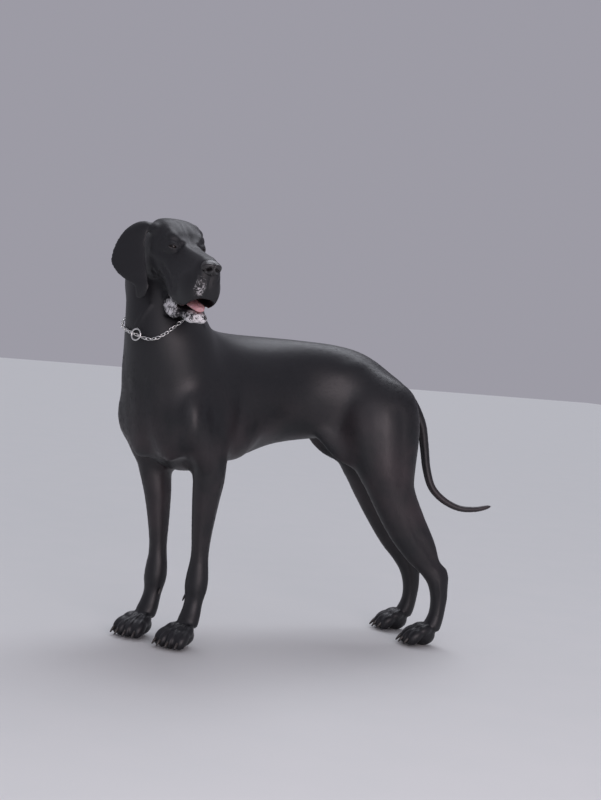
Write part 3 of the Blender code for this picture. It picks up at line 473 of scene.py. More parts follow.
def make_neck():
    """Neck from between the shoulders to the back of the skull, turning with the head."""
    head = head_matrix()
    nape = head @ Vector((-0.105, 0.0, -0.020))
    upper = head @ Vector((-0.150, 0.0, -0.085))
    rows = [
        (*body_point(0.670, -0.010, 0.620), 0.138, 0.165, CHEST_TURN),
        (*body_point(0.712, -0.018, 0.700), 0.140, 0.144, CHEST_TURN + 0.10),
        (*body_point(0.748, -0.012, 0.775), 0.118, 0.124, CHEST_TURN + 0.35),
        (*((upper + body_point(0.780, -0.004, 0.830)) / 2), 0.087, 0.100, CHEST_TURN + 0.65),
        (*upper, 0.074, 0.085, CHEST_TURN + 0.9),
        (*nape, 0.058, 0.070, HEAD_TURN),
    ]
    places = flow(rows, 40)
    points = [Vector(row[:3]) for row in places]
    rings = []
    for index, row in enumerate(places):
        course = course_at(points, index)
        left = Vector((math.sin(row[5]), -math.cos(row[5]), 0.0))
        depth = course.cross(left).normalized()
        across = depth.cross(course).normalized()
        rings.append(oval(points[index], across, depth, row[3], row[4]))
    return loft("neck", rings)


# Head

def head_loft(name, matrix, stations, count=40, sides=36):
    """A loft along the head: forward, top, bottom, half width."""
    turn = matrix.to_3x3()
    rings = []
    for forward, top, bottom, width in flow(stations, count):
        centre = matrix @ Vector((forward, 0.0, (top + bottom) / 2))
        rings.append(oval(centre, turn.col[1], turn.col[2], width, (top - bottom) / 2, sides=sides))
    return loft(name, rings)


def head_mass(name, matrix, centre, radii, turn=(0.0, 0.0, 0.0), detail=4):
    """A mass on the head, turned about its own centre."""
    spin = Matrix.Rotation(turn[2], 4, "Z") @ Matrix.Rotation(turn[1], 4, "Y")
    spin = spin @ Matrix.Rotation(turn[0], 4, "X")
    return mass(name, matrix @ Matrix.Translation(centre) @ spin, radii, detail)


def head_shell(name, matrix, stations, count=60, sides=44):
    """A loft whose sections run from the top over an upper corner, the side and a lower corner.

    Each station holds the place forward, the top, three corners out and up, and the bottom.
    """
    rings = []
    for row in flow(stations, count):
        half = [(0.0, row[1]), (row[2], row[3]), (row[4], row[5]), (row[6], row[7]), (0.0, row[8])]
        outline = half + [(-out, up) for out, up in reversed(half[1:-1])]
        rings.append([matrix @ Vector((row[0], out, up)) for out, up in closed_curve(outline, sides)])
    return loft(name, rings)


def make_skull(matrix):
    """Cranium, muzzle and upper lips."""
    stations = metres([
        (-162, 18, 10, 12, 16, -6, 10, -24, -30),
        (-146, 50, 30, 40, 43, -2, 30, -42, -56),
        (-110, 73, 46, 61, 63, 2, 50, -56, -82),
        (-65, 79, 51, 67, 68, 6, 56, -60, -90),
        (-28, 73, 46, 61, 63, 8, 53, -56, -88),
        (0, 60, 41, 52, 56, 4, 49, -54, -86),
        (22, 44, 32, 38, 48, -6, 46, -70, -98),
        (50, 34, 26, 27, 42, -14, 46, -89, -108),
        (90, 30, 23, 23, 40, -16, 47, -94, -109),
        (125, 29, 22, 22, 39, -14, 45, -92, -105),
        (150, 28, 22, 20, 36, -12, 39, -78, -91),
        (166, 22, 18, 14, 30, -14, 31, -64, -73),
        (175, 8, 11, 2, 18, -16, 17, -36, -44),
    ])
    return [head_shell("skull", matrix, stations)]


def eye_frame(matrix, side):
    """A frame at an eye's centre: +X out of the eye, +Z up."""
    mirror = Vector((1.0, side, 1.0))
    turn = matrix.to_3x3()
    ahead = (turn @ (Vector(EYE_COURSE) * mirror)).normalized()
    across = (turn @ UP).cross(ahead).normalized()
    return frame_at(matrix @ (Vector(EYE_PLACE) * mirror), ahead, across, ahead.cross(across))


def make_face(matrix):
    """Brows, cheeks, cheek bones, lids and the fullness of the upper lips."""
    parts = []
    for side, tag in SIDES:
        lid = EYE_RADIUS + LID_THICKNESS
        masses = (
            ("brow", (-0.004, 0.033, 0.042), (0.026, 0.021, 0.015), (0.45, 0.35)),
            ("temple", (-0.060, 0.044, 0.026), (0.046, 0.020, 0.034), (0.0, 0.0)),
            ("ear_base", (-0.068, 0.050, 0.046), (0.032, 0.024, 0.020), (0.0, 0.0)),
            ("cheek", (-0.060, 0.046, -0.034), (0.052, 0.022, 0.046), (0.0, 0.0)),
            ("arch", (-0.018, 0.048, -0.006), (0.044, 0.011, 0.012), (0.1, -0.28)),
            ("flew", (0.116, 0.028, -0.055), (0.052, 0.024, 0.048), (0.0, -0.04)),
            ("pad", (0.148, 0.018, -0.028), (0.025, 0.018, 0.028), (0.0, 0.0)),
        )
        for name, (forward, out, up), radii, (pitch, turn) in masses:
            centre = (forward, side * out, up)
            parts.append(head_mass(name + tag, matrix, centre, radii, (0.0, pitch, side * turn)))
        parts.append(mass("lids" + tag, eye_frame(matrix, side), (lid, lid + 0.0015, lid)))
    return parts


def make_lid_opening(matrix, side, steps=10):
    """An almond-shaped cutter through the lids, out from the eye's centre."""
    frame = eye_frame(matrix, side)
    places = [-1 + 2 * step / steps for step in range(steps)]
    outline = [(place, 1 - place * place) for place in places]
    outline += [(-place, place * place - 1) for place in places]
    rings = []
    for reach, spread in ((0.25, 0.35), (1.0, 1.0), (2.2, 1.35)):
        depth, length, height = EYE_RADIUS * reach, LID_LENGTH * spread, LID_HEIGHT * spread
        rings.append([frame @ Vector((depth, length * across, height * up)) for across, up in outline])
    return loft("lid_opening", rings)


def make_jaw(matrix, name="lower_jaw", with_lips=True):
    """The lower jaw, a little open, with its loose lower lips."""
    stations = metres([
        (-80, -50, -94, 34),
        (-40, -62, -114, 36),
        (10, -86, -130, 33),
        (60, -102, -138, 32),
        (105, -107, -139, 31),
        (138, -107, -138, 28),
        (156, -111, -132, 21),
    ])
    parts = [head_loft(name, matrix, stations)]
    if not with_lips:
        return parts[0]
    for side, tag in SIDES:
        lip = ((0.060, side * 0.034, -0.122), (0.050, 0.0115, 0.021))
        chin = ((0.132, side * 0.012, -0.125), (0.025, 0.017, 0.0145))
        parts.append(head_mass("lower_lip" + tag, matrix, *lip, (0.0, 0.10, 0.0)))
        parts.append(head_mass("chin" + tag, matrix, *chin))
    return join(name, parts)


def make_nose(matrix, name, spare, detail):
    """The nose leather stands at the top of the muzzle's front."""
    radii = (0.021 + spare, 0.0255 + spare, 0.0185 + spare)
    return head_mass(name, matrix, (0.166, 0.0, 0.005), radii, (0, 0.12, 0), detail)


def make_mouth(matrix):
    """The space inside the upper lips, open below and in front, where the lower jaw goes."""
    stations = metres([
        (16, -80, -150, 34.5),
        (40, -72, -160, 34.5),
        (100, -66, -170, 34),
        (135, -68, -175, 32),
        (160, -72, -180, 29),
        (200, -78, -185, 27),
    ])
    rings = []
    for forward, top, bottom, width in flow(stations, 12):
        half = ((width, bottom), (width, top - 0.012), (width * 0.5, top))
        corners = [(-width, bottom), *half] + [(-out, up) for out, up in reversed(half[1:])]
        rings.append([matrix @ Vector((forward, out, up)) for out, up in corners])
    return loft("mouth", rings)


def make_tongue(matrix, name):
    """The tongue lies on the lower jaw, its tip just behind the front lip."""
    stations = metres([
        (34, -90, -99, 8),
        (60, -86, -103, 19),
        (100, -87, -105, 20),
        (136, -90, -107, 19),
        (151, -96, -108, 10),
    ])
    return head_loft(name, matrix, stations, 9, sides=12)


def make_ear(matrix, side, name, sides=36, count=44):
    """A hanging ear: it rises from its root, folds over and drops forwards, its rear edge flared.

    Each row holds the front edge's place, the width and half the thickness.
    """
    rows = metres([
        (-62, 38, 24, 40, 12),
        (-66, 53, 47, 46, 11),
        (-67, 67, 55, 54, 9),
        (-65, 75, 42, 70, 6.6),
        (-59, 79, 10, 85, 5.4),
        (-38, 80, -25, 94, 5),
        (-18, 80, -50, 83, 5),
        (-6, 78, -68, 66, 5),
        (4, 77, -83, 42, 4.8),
        (4, 78, -98, 36, 4.6),
        (-3, 80, -113, 25, 4),
        (-12, 82, -121, 8, 2.6),
    ])
    places = flow([(*row, flare) for row, flare in zip(rows, EAR_FLARES)], count)
    backwards = []
    points = []
    for front, out, up, width, _, degrees in places:
        flare = math.radians(degrees) * EAR_SPREAD[side]
        backwards.append(Vector((-math.cos(flare), side * math.sin(flare), -EAR_DROOP * flare)))
        edge = Vector((front - EAR_BACK[side], side * (out - EAR_IN[side]), up))
        points.append(edge + backwards[-1] * (width / 2))
    rings = []
    for index, row in enumerate(places):
        thick = course_at(points, index).cross(backwards[index]).normalized()
        ring = oval(points[index], backwards[index], thick, row[3] / 2, row[4], sides=sides)
        rings.append([matrix @ point for point in ring])
    return loft(name, rings)


# Joining

def select_only(pieces):
    """Make these pieces the selection, the first of them active."""
    bpy.ops.object.select_all(action="DESELECT")
    for piece in pieces:
        piece.select_set(True)
    bpy.context.view_layer.objects.active = pieces[0]


def apply_modifier(piece, kind, **settings):
    """Add a modifier with these settings and apply it."""
    modifier = piece.modifiers.new(kind.title(), kind)
    for name, value in settings.items():
        setattr(modifier, name, value)
    select_only([piece])
    bpy.ops.object.modifier_apply(modifier=modifier.name)


def join(name, pieces):
    """One object from several, their bodies still separate."""
    select_only(pieces)
    bpy.ops.object.join()
    pieces[0].name = name
    pieces[0].data.name = name
    return pieces[0]


def melt(piece, voxel):
    """Turn overlapping bodies into one closed skin of even faces."""
    apply_modifier(piece, "REMESH", mode="VOXEL", voxel_size=voxel)


def swell(piece, distance):
    """Move the whole surface out, or in where the distance is under 0."""
    apply_modifier(piece, "DISPLACE", strength=distance, mid_level=0.0)


def soften(piece, voxel, radius):
    """Even out bumps up to about a radius across."""
    apply_modifier(piece, "SMOOTH", factor=0.5, iterations=max(1, round((radius / voxel) ** 2)))


def fill_creases(piece, voxel, radius):
    """Join overlapping bodies and round the creases between them."""
    melt(piece, voxel)
    swell(piece, radius)
    melt(piece, voxel)
    swell(piece, -radius)
    melt(piece, voxel)


def weld(piece):
    """Merge vertices that a cut left almost on top of one another."""
    shape = bmesh.new()
    shape.from_mesh(piece.data)
    bmesh.ops.remove_doubles(shape, verts=shape.verts, dist=WELD)
    bmesh.ops.dissolve_degenerate(shape, edges=shape.edges, dist=WELD)
    shape.to_mesh(piece.data)
    shape.free()
    piece.data.update()


def cut_away(piece, cutter):
    """Take the cutter's space out of a piece and remove the cutter."""
    apply_modifier(piece, "BOOLEAN", operation="DIFFERENCE", object=cutter)
    bpy.data.objects.remove(cutter, do_unlink=True)
    weld(piece)


def make_body_form(matrix):
    """Trunk, neck, limbs and the back of the skull with the creases between them filled."""
    tail_root = muscle("tail_root", (0.050, 0.0, 0.722), (-0.036, 0.0, 0.668), 0.024, 0.026)
    parts = [make_trunk(), make_neck(), tail_root] + make_skull(matrix)
    for side, tag in SIDES:
        parts += make_shoulder(side, tag) + make_foreleg(side, tag) + make_hind(side, tag)
    body = join("body", parts)
    fill_creases(body, BODY_VOXEL, BODY_CREASE)
    soften(body, BODY_VOXEL, BODY_SOFTNESS)
    return body


def make_head_form(matrix):
    """The head with its brows, cheeks, lids and lips, and the root of the lower jaw."""
    head = join("head", make_skull(matrix) + make_face(matrix) + [make_jaw(matrix, "jaw_root", False)])
    fill_creases(head, HEAD_VOXEL, HEAD_CREASE)
    soften(head, HEAD_VOXEL, HEAD_SOFTNESS)
    return head


def make_feet():
    """The toes and pads of all four feet."""
    parts = []
    for side, tag in SIDES:
        for end, place in paw_places(side):
            parts += make_paw(*place, end + tag)
    return parts


def flatten_soles(piece):
    """Press what reaches below the floor up to it, so that every foot has small flats at one level."""
    places = vertex_places(piece)
    height = places[:, 2]
    stretch = SOLE_BLEND / (SOLE_BLEND - SOLE_PRESS)
    lifted = np.where(height < SOLE_BLEND, (height - SOLE_PRESS) * stretch, height)
    places[:, 2] = np.where(height < SOLE_PRESS, 0.0, lifted)
    set_places(piece, places)


# Small parts

def make_eye(matrix, side, name, spare, rings, sides):
    """An eyeball, its poles on the line it looks along."""
    frame = eye_frame(matrix, side)
    radius = EYE_RADIUS + spare
    shape = bmesh.new()
    bmesh.ops.create_uvsphere(shape, u_segments=sides, v_segments=rings, radius=radius)
    turn = frame @ Matrix.Rotation(math.pi / 2, 4, "Y")
    bmesh.ops.transform(shape, matrix=turn, verts=shape.verts)
    return finish_mesh(name, shape)


def make_claw(name, root, tip, radius):
    """A claw that curves down from its root to its blunt tip."""
    course = (tip - root).normalized()
    side = course.cross(UP).normalized()
    rings = []
    for reach, size, rise in ((0.0, 1.0, 0.0), (0.55, 0.82, 0.0012), (1.0, 0.42, -0.0006)):
        centre = root.lerp(tip, reach) + UP * rise
        wide, high = radius * size * 0.8, radius * size
        rings.append(oval(centre, side, side.cross(course), wide, high, sides=CLAW_SIDES))
    return loft(name, rings)


def collar_height(turn):
    """How high the chain lies at a turn in degrees round the neck."""
    turns = [degrees for degrees, _ in COLLAR_COURSE]
    heights = [height for _, height in COLLAR_COURSE]
    return float(np.interp(turn, turns + [360], heights + heights[:1]))


def collar_loop(body, count, lift):
    """Places round the neck where the collar lies, each with its way outwards."""
    loop = []
    for step in range(count):
        turn = 360 * step / count
        height = sum(collar_height((turn + shift) % 360) for shift in COLLAR_EASE) / len(COLLAR_EASE)
        out = Vector((math.cos(math.radians(turn)), math.sin(math.radians(turn)), 0.0))
        centre = Vector((*COLLAR_CENTRE, height)) + ORIGIN_SHIFT
        hit, place, _, _ = body.ray_cast(centre + out * COLLAR_REACH, -out)
        assert hit, "the collar misses the neck"
        loop.append((place + out * lift, out))
    return loop


def toe_place(along, side_place, length, width, out):
    """Body places of a toe's knuckle and tip."""
    reach = length * (0.50 if abs(out) > 0.5 else 0.62)
    knuckle = (along + reach * 0.35, side_place + out * width * 0.46, 0.040)
    tip = (along + reach, side_place + out * width * 0.54, 0.020)
    return knuckle, tip


def make_claws(side, tag):
    """The claws of one side's two paws, and the dewclaw inside its wrist."""
    claws = []
    for end, (along, side_place, length, width) in paw_places(side):
        for index, out in enumerate(TOES):
            _, tip = toe_place(along, side_place, length, width, out)
            root = body_point(tip[0] + 0.006, tip[1], tip[2] + 0.004)
            point = body_point(tip[0] + 0.0215, tip[1] + out * 0.003, 0.0075)
            claws.append(make_claw("claw%s%s_%d" % (end, tag, index + 1), root, point, CLAW_RADIUS))
    inner = side * (0.075 - FORE_INWARDS[side] - 0.028)
    root = body_point(0.656, inner, 0.128)
    point = body_point(0.667, inner - side * 0.001, 0.110)
    claws.append(make_claw("dewclaw" + tag, root, point, DEWCLAW_RADIUS))
    return claws


# Skin

SKIN_VOXEL = 0.0028
SKIN_SOFTNESS = 0.0065
SKIN_TRIANGLES = 186000
COAT_DEPTH = 0.0022

# The trunk's skin is evened out above a height and up to the tail
TRUNK_PASSES = 60
TRUNK_LOW = 0.46
TAIL_START = 0.36

# How freely the skin is thinned on the head and on the feet, against 1 elsewhere
THIN_HEAD = 0.12
THIN_FEET = 0.25
FEET_TOP = 0.09

SEED = 7


def read(rows, field, width=3, kind=np.float32):
    """One property of all the rows of a mesh as an array."""
    table = np.empty(len(rows) * width, kind)
    rows.foreach_get(field, table)
    return table.reshape(-1, width) if width > 1 else table


def vertex_places(piece):
    """The places of an object's vertices as an array."""
    return read(piece.data.vertices, "co").astype(float)


def vertex_normals(piece):
    """The normals at an object's vertices as an array."""
    return read(piece.data.vertex_normals, "vector").astype(float)


def ramp(values, foot, run):
    """0 up to a foot and 1 from a run past it. A run under 0 rises towards lower values."""
    return np.clip((values - foot) / run, 0.0, 1.0)


def in_box(spots, low, high):
    """Whether each place lies in a box given by its low and high corners."""
    return np.all((spots > np.array(low)) & (spots < np.array(high)), axis=1)


def set_places(piece, places):
    """Move an object's vertices to new places."""
    piece.data.vertices.foreach_set("co", places.ravel())
    piece.data.update()


def surface_tree(piece):
    """A search tree over an object's faces."""
    places = [vertex.co for vertex in piece.data.vertices]
    return BVHTree.FromPolygons(places, [tuple(face.vertices) for face in piece.data.polygons])


def laid_line(tree, points, steps=14):
    """A smooth line through points, laid onto the nearest surface."""
    line = []
    for spot in flow([tuple(point) for point in points], steps):
        line.append(tree.find_nearest(Vector(spot))[0])
    return np.array(line)


def segment_gap(places, start, end):
    """How far each place is from the straight line between two points."""
    run = end - start
    reach = np.clip((places - start) @ run / max(run @ run, 1e-12), 0.0, 1.0)
    return np.linalg.norm(places - start - reach[:, None] * run, axis=1)


def line_distance(places, line):
    """How far each place is from a line of points."""
    nearest = np.full(len(places), 1e9)
    for start, end in zip(line, line[1:]):
        nearest = np.minimum(nearest, segment_gap(places, start, end))
    return nearest


def press(piece, lines):
    """Push the skin in along lines. Each has its points, its radius and its depth, out if under 0."""
    tree = surface_tree(piece)
    places = vertex_places(piece)
    normals = vertex_normals(piece)
    shift = np.zeros(len(places))
    for points, radius, depth in lines:
        line = laid_line(tree, points)
        low, high = line.min(axis=0) - 3 * radius, line.max(axis=0) + 3 * radius
        near = np.flatnonzero(in_box(places, low, high))
        gap = line_distance(places[near], line)
        shift[near] += depth * np.exp(-((gap / radius) ** 2))
    set_places(piece, places - normals * shift[:, None])


def lay_out(place, middle, sides):
    """Lines for the press, in place: those along the middle, and the others on both sides."""
    lines = metres(middle)
    for points, radius, depth in metres(sides):
        lines += [([(x, side * y, z) for x, y, z in points], radius, depth) for side, _ in SIDES]
    return [([place(*point) for point in points], radius, depth) for points, radius, depth in lines]


def head_lines(matrix):
    """Folds, furrows and ridges of the head, in its own frame."""
    middle_lines = [
        ([(50, 0, 34), (14, 0, 54), (-45, 0, 78)], 10, 2.8),
        ([(178, 0, -16), (176, 0, -40), (168, 0, -66)], 3.5, 2.2),
    ]
    side_lines = [
        ([(30, 30, 12), (18, 44, 2), (-4, 52, 2)], 4.5, 2.6),
        ([(32, 22, 26), (22, 34, 37), (2, 46, 35)], 5, 2.8),
        ([(30, 13, 46), (4, 15, 62), (-30, 16, 78)], 9.5, -1),
        ([(34, 20, 30), (28, 26, 16), (36, 28, 2)], 8, 3),
        ([(20, 30, 38), (0, 45, 40), (-18, 53, 28)], 5.5, 1.3),
        ([(34, 26, 22), (70, 36, 2), (120, 38, 0)], 11, 2),
        ([(10, 50, -30), (40, 48, -46), (70, 47, -66)], 7, 2.6),
        ([(-6, 54, -52), (26, 50, -70), (48, 47, -86)], 5, 4),
        ([(-30, 56, -50), (-6, 52, -78), (20, 46, -100)], 5, 3.4),
        ([(60, 47, -50), (80, 48, -60), (100, 47, -62)], 6, 1),
        ([(20, 46, -114), (50, 47, -109), (86, 46, -114)], 4, 3),
        ([(30, 47, -131), (58, 48, -124), (90, 45, -130)], 4, 2.8),
        ([(-30, 39, -143), (-35, 42, -180), (-40, 44, -215)], 7, -2.4),
        ([(158, 22, -12), (168, 24, -22), (172, 14, -30)], 4, 1.4),
        ([(-20, 40, 56), (6, 34, 48), (26, 24, 40)], 8, -1.6),
        ([(45, 18, 34), (90, 15, 30), (140, 14, 28)], 6, -0.8),
        ([(20, 50, -10), (-20, 58, -8), (-50, 64, -2)], 10, -1.8),
    ]
    return lay_out(lambda *point: matrix @ Vector(point), middle_lines, side_lines)


def body_lines():
    """Muscles, tendons, veins and creases of the body, at places along, left and up."""
    middle_lines = [([(860, 0, 680), (850, 0, 590), (810, 0, 490)], 16, 2.8)]
    side_lines = [
        ([(600, 130, 700), (600, 135, 600), (620, 130, 500)], 18, 2.2),
        ([(720, 140, 560), (690, 145, 500), (650, 140, 450)], 14, 1.2),
        ([(680, 135, 440), (670, 120, 360), (664, 110, 280)], 7, 1.4),
        ([(640, 130, 420), (636, 112, 330), (632, 104, 250)], 6, 1.6),
        ([(700, 110, 400), (690, 98, 320), (672, 92, 220)], 3.5, -1),
        ([(120, 120, 640), (110, 160, 560), (100, 160, 470)], 18, 1),
        ([(20, 150, 640), (10, 160, 540), (0, 150, 440)], 16, 2.4),
        ([(70, 150, 660), (60, 165, 560), (50, 160, 470)], 18, -1.6),
        ([(-40, 130, 330), (-85, 120, 280), (-125, 112, 230)], 9, 4.2),
        ([(30, 150, 420), (0, 140, 360), (-60, 120, 280)], 3, -1),
        ([(-90, 120, 235), (-128, 116, 200), (-138, 114, 150)], 5, 1.4),
        ([(-140, 115, 180), (-150, 112, 130), (-146, 114, 90)], 4, -1),
        ([(560, 130, 620), (540, 132, 560), (530, 128, 500)], 12, 0.7),
        ([(510, 130, 620), (490, 132, 560), (480, 126, 500)], 12, 0.7),
        ([(460, 128, 630), (440, 130, 570), (425, 122, 510)], 12, 0.6),
        ([(190, 90, 730), (170, 96, 760), (130, 90, 780)], 16, -2),
        ([(830, 60, 660), (822, 56, 580), (800, 60, 500)], 18, 2),
    ]
    return lay_out(body_point, middle_lines, side_lines)


def toe_lines():
    """The grooves between the toes and over the knuckles."""
    lines = []
    for side, _ in SIDES:
        for _, (along, side_place, length, width) in paw_places(side):
            for out in (-0.51, 0.0, 0.51):
                near = side_place + out * width * 0.40
                far = side_place + out * width * 0.54
                points = [(along + 0.006, near, 0.064), (along + length * 0.35, near, 0.054),
                          (along + length * 0.66, far, 0.026), (along + length * 0.62, far, 0.008)]
                lines.append(([body_point(*point) for point in points], 0.0034, 0.0022))
    return lines


def make_skin(matrix):
    """One closed skin for the whole dog, inside the solids by the depth of the coat."""
    body = make_body_form(matrix)
    head = make_head_form(matrix)
    cut_away(body, make_mouth(matrix))
    cut_away(head, make_mouth(matrix))
    jaw = make_jaw(matrix)
    parts = [body, head, jaw, make_tail()] + make_feet()
    parts += [make_ear(matrix, side, "ear" + tag) for side, tag in SIDES]
    skin = join("skin", parts)
    melt(skin, SKIN_VOXEL)
    soften(skin, SKIN_VOXEL, SKIN_SOFTNESS)
    thin_out(skin, matrix, SKIN_TRIANGLES)
    smooth_trunk(skin, matrix)
    press(skin, body_lines() + toe_lines())
    press(skin, head_lines(matrix))
    soften(skin, SKIN_VOXEL, SKIN_VOXEL)
    sink(skin, matrix)
    flatten_soles(skin)
    cut_away(skin, make_nose(matrix, "nose_space", -NOSE_OVERLAP, 4))
    for side, _ in SIDES:
        cut_away(skin, make_eye(matrix, side, "eye_space", GAP, 24, 32))
        cut_away(skin, make_lid_opening(matrix, side))
    return skin


def add_group(piece, name, weights):
    """Give an object's vertices their weights in a group."""
    group = piece.vertex_groups.new(name=name)
    for weight in np.unique(weights[weights > 0]):
        group.add(np.flatnonzero(weights == weight).tolist(), float(weight), "REPLACE")


def smooth_trunk(piece, matrix):
    """Even out the skin over the trunk, shoulders and neck, where the coat lies smooth."""
    places = vertex_places(piece)
    weights = ramp(places[:, 2], TRUNK_LOW, 0.08) * ramp(head_gap(places, matrix), 0.22, 0.06)
    weights *= ramp(places[:, 0], TAIL_START, -0.04)
    add_group(piece, "trunk", np.round(weights, 1))
    apply_modifier(piece, "SMOOTH", factor=0.5, iterations=TRUNK_PASSES, vertex_group="trunk")
    piece.vertex_groups.clear()


def sink(piece, matrix):
    """Draw the skin in by the depth of the coat, which is nothing at the lids."""
    places = vertex_places(piece)
    depth = COAT_DEPTH * tuft_length(places, matrix) / BODY_TUFT
    for side, _ in SIDES:
        gap = np.linalg.norm(places - np.array(eye_frame(matrix, side).translation), axis=1)
        depth *= ramp(gap, 0.016, 0.012)
    set_places(piece, places - vertex_normals(piece) * depth[:, None])


def thin_out(piece, matrix, target):
    """Bring the skin down to about a number of triangles, keeping the face and feet fine."""
    places = vertex_places(piece)
    weights = np.where(head_gap(places, matrix) < HEAD_REACH, THIN_HEAD, 1.0)
    add_group(piece, "thin", np.where(places[:, 2] < FEET_TOP, THIN_FEET, weights))
    apply_modifier(piece, "DECIMATE", ratio=target / (2 * len(places)), vertex_group="thin",
                   vertex_group_factor=2.0, use_collapse_triangulate=True)
    piece.vertex_groups.clear()


# The lie of the coat

def chains(matrix):
    """Lines that the coat follows, each from its start to its end."""
    middle = metres([
        [(800, 0, 800), (600, 0, 800), (300, 0, 790), (50, 0, 740)],
        [(600, 0, 460), (300, 0, 530), (100, 0, 570)],
        [(830, 0, 720), (800, 0, 500), (700, 0, 450)],
        [(0, 0, 700), (-60, 0, 630), (-94, 0, 548), (-126, 10, 432),
         (-210, 22, 380), (-302, 29, 394)],
    ])
    outer = metres([
        [(740, 110, 720), (700, 110, 560), (664, 96, 445)],
        [(640, 120, 680), (450, 110, 600), (300, 90, 580)],
        [(300, 90, 690), (160, 90, 660), (80, 100, 560)],
        [(664, 96, 445)],
        [(60, 100, 620), (34, 106, 475), (-26, 103, 335)],
    ])
    fore = metres([(654, 80, 310), (652, 75, 100), (740, 77, 20)])
    hind = metres([(-138, 95, 188), (-148, 95, 80), (-60, 96, 20)])
    face = metres([(190, 0, 0), (60, 0, 10), (-20, 0, 20), (-120, 0, 0)])
    jaw = metres([(150, 0, -120), (-40, 0, -110)])
    lines = [[body_point(*point) for point in line] for line in middle]
    lines.append([matrix @ Vector(point) for point in face] + [body_point(0.700, 0.0, 0.800)])
    lines.append([matrix @ Vector(point) for point in jaw] + [body_point(0.820, 0.0, 0.700)])
    for side, _ in SIDES:
        sides = [[stand(side, *point) for point in line] for line in outer]
        sides[3] += [stand(side, *point, fore=1.0) for point in fore]
        sides[4] += [stand(side, *point, hind=1.0) for point in hind]
        lines += [[body_point(*point) for point in line] for line in sides]
        lines.append([matrix @ Vector(point) for point in ear_course(side)])
    return lines


def ear_course(side):
    """The middle of an ear's leaf from its root to its tip."""
    flare = math.radians(34) * EAR_SPREAD[side]
    table = metres(((-64, 50, 30, 40), (-66, 84, 30, 60), (-40, 83, -25, 90), (-6, 78, -68, 60),
                    (-8, 81, -118, 20)))
    course = []
    for front, out, up, width in table:
        along = front - EAR_BACK[side] - math.cos(flare) * width / 2
        outwards = out - EAR_IN[side] + math.sin(flare) * width / 2
        course.append((along, side * outwards, up - EAR_DROOP * flare * width / 2))
    return course


def lie_of_coat(places, normals, matrix):
    """The way the coat lies at each place, along the skin."""
    total = np.zeros((len(places), 3))
    for line in chains(matrix):
        for start, end in zip(line, line[1:]):
            run = np.array(end) - np.array(start)
            gap = segment_gap(places, np.array(start), np.array(end))
            total += run / np.linalg.norm(run) / (gap[:, None] ** 4 + 1e-8)
    total /= np.linalg.norm(total, axis=1, keepdims=True) + 1e-12
    total -= normals * np.sum(total * normals, axis=1, keepdims=True)
    return total / (np.linalg.norm(total, axis=1, keepdims=True) + 1e-9)


# Markings and painted sheen

MUZZLE_FLECKS = {-1: (0.168, -0.020, -0.044), 1: (0.146, 0.034, -0.044)}

# Low and high corners in the head's frame. No coat grows in the mouth, and its roof is bare.
MOUTH_BOX = ((0.014, -0.0385, -0.106), (0.160, 0.0385, -0.060))
PALATE_BOX = ((0.014, -0.029, -0.098), (0.146, 0.029, -0.060))


def soft_ball(places, centre, radii):
    """1 at a centre, fading to 0 at the radii."""
    reach = np.linalg.norm((places - np.array(centre)) / np.array(radii), axis=1)
    return np.clip(1.6 - 1.6 * reach, 0.0, 1.0)


def in_head(places, matrix):
    """Places in the head's own frame."""
    return (places - np.array(matrix.translation)) @ np.array(matrix.to_3x3())


def head_gap(places, matrix):
    """How far each place is from the middle of the head."""
    return np.linalg.norm(in_head(places, matrix), axis=1)


def strongest(spots, marks):
    """The strongest of some soft marks at each place. Each has its strength, centre and radii."""
    return np.max([strength * soft_ball(spots, centre, radii) for strength, centre, radii in marks], axis=0)


def markings_and_sheen(places, matrix):
    """Grey flecks, bare pink skin, a brown cast with painted sheen, and dullness at each place, from 0 to 1
    each.
    """
    spots = in_head(places, matrix)
    flecks = [(1.8, (0.136, 0.0, -0.130), (0.042, 0.040, 0.030))]
    pinks = [(1.0, (0.146, 0.0, -0.100), (0.022, 0.028, 0.014))]
    dulls = []
    for side, _ in SIDES:
        flecks.append((0.6, MUZZLE_FLECKS[side], (0.015, 0.017, 0.034)))
        flecks.append((1.05, (0.064, side * 0.044, -0.120), (0.056, 0.026, 0.036)))
        pinks.append((0.5, (0.120, side * 0.026, -0.101), (0.050, 0.012, 0.009)))
        dulls.append((1.0, (0.020, side * 0.040, 0.020), (0.034, 0.024, 0.030)))
    fleck = np.minimum(strongest(spots, flecks), 1.0)
    bare = np.maximum(strongest(spots, pinks), 0.8 * in_box(spots, *PALATE_BOX))
    dull = np.maximum(strongest(spots, dulls), np.minimum(ramp(head_gap(places, matrix), 0.26, -0.06), 0.5))
    # Painted sheen: low on the body and legs the coat gets a lighter brown cast. It is partly the coat's
    # own tint and partly stands in for the sheen and bounced light on the thigh, flank and belly.
    warm_and_sheen = ramp(places[:, 2], 0.70, -0.20) * ramp(places[:, 2], 0.16, 0.20)
    return np.stack([fleck, bare, warm_and_sheen, dull], axis=1)


# Coat

FACE_TUFT = 0.0036
BODY_TUFT = 0.0080
FOOT_TUFT = 0.0042
EAR_TUFT = 0.0022
TUFT_COUNT = 150000
TUFT_PIECES = 4

# Shares of a tuft's length
TUFT_WIDTH = 0.19
TUFT_THICKNESS = 0.030

# How far a tuft's root lies under the skin, and how much the tufts vary: the share of their usual
# length, and the radians by which they stray sideways and lift
TUFT_ROOT = 0.0003
TUFT_LENGTHS = (0.75, 1.25)
TUFT_STRAY = 0.11
TUFT_LIFTS = (0.04, 0.10)

# Soles are bare below this height
SOLE_FLAT = 0.002

# The unwrap's tiles span this many metres inside a margin, with tiles of their own for the legs
# below a height, and a tuft takes up a small patch
LEG_TOP = 0.44
TILE_SPAN = 1.4
TILE_MARGIN = 0.05
PATCH = 0.003


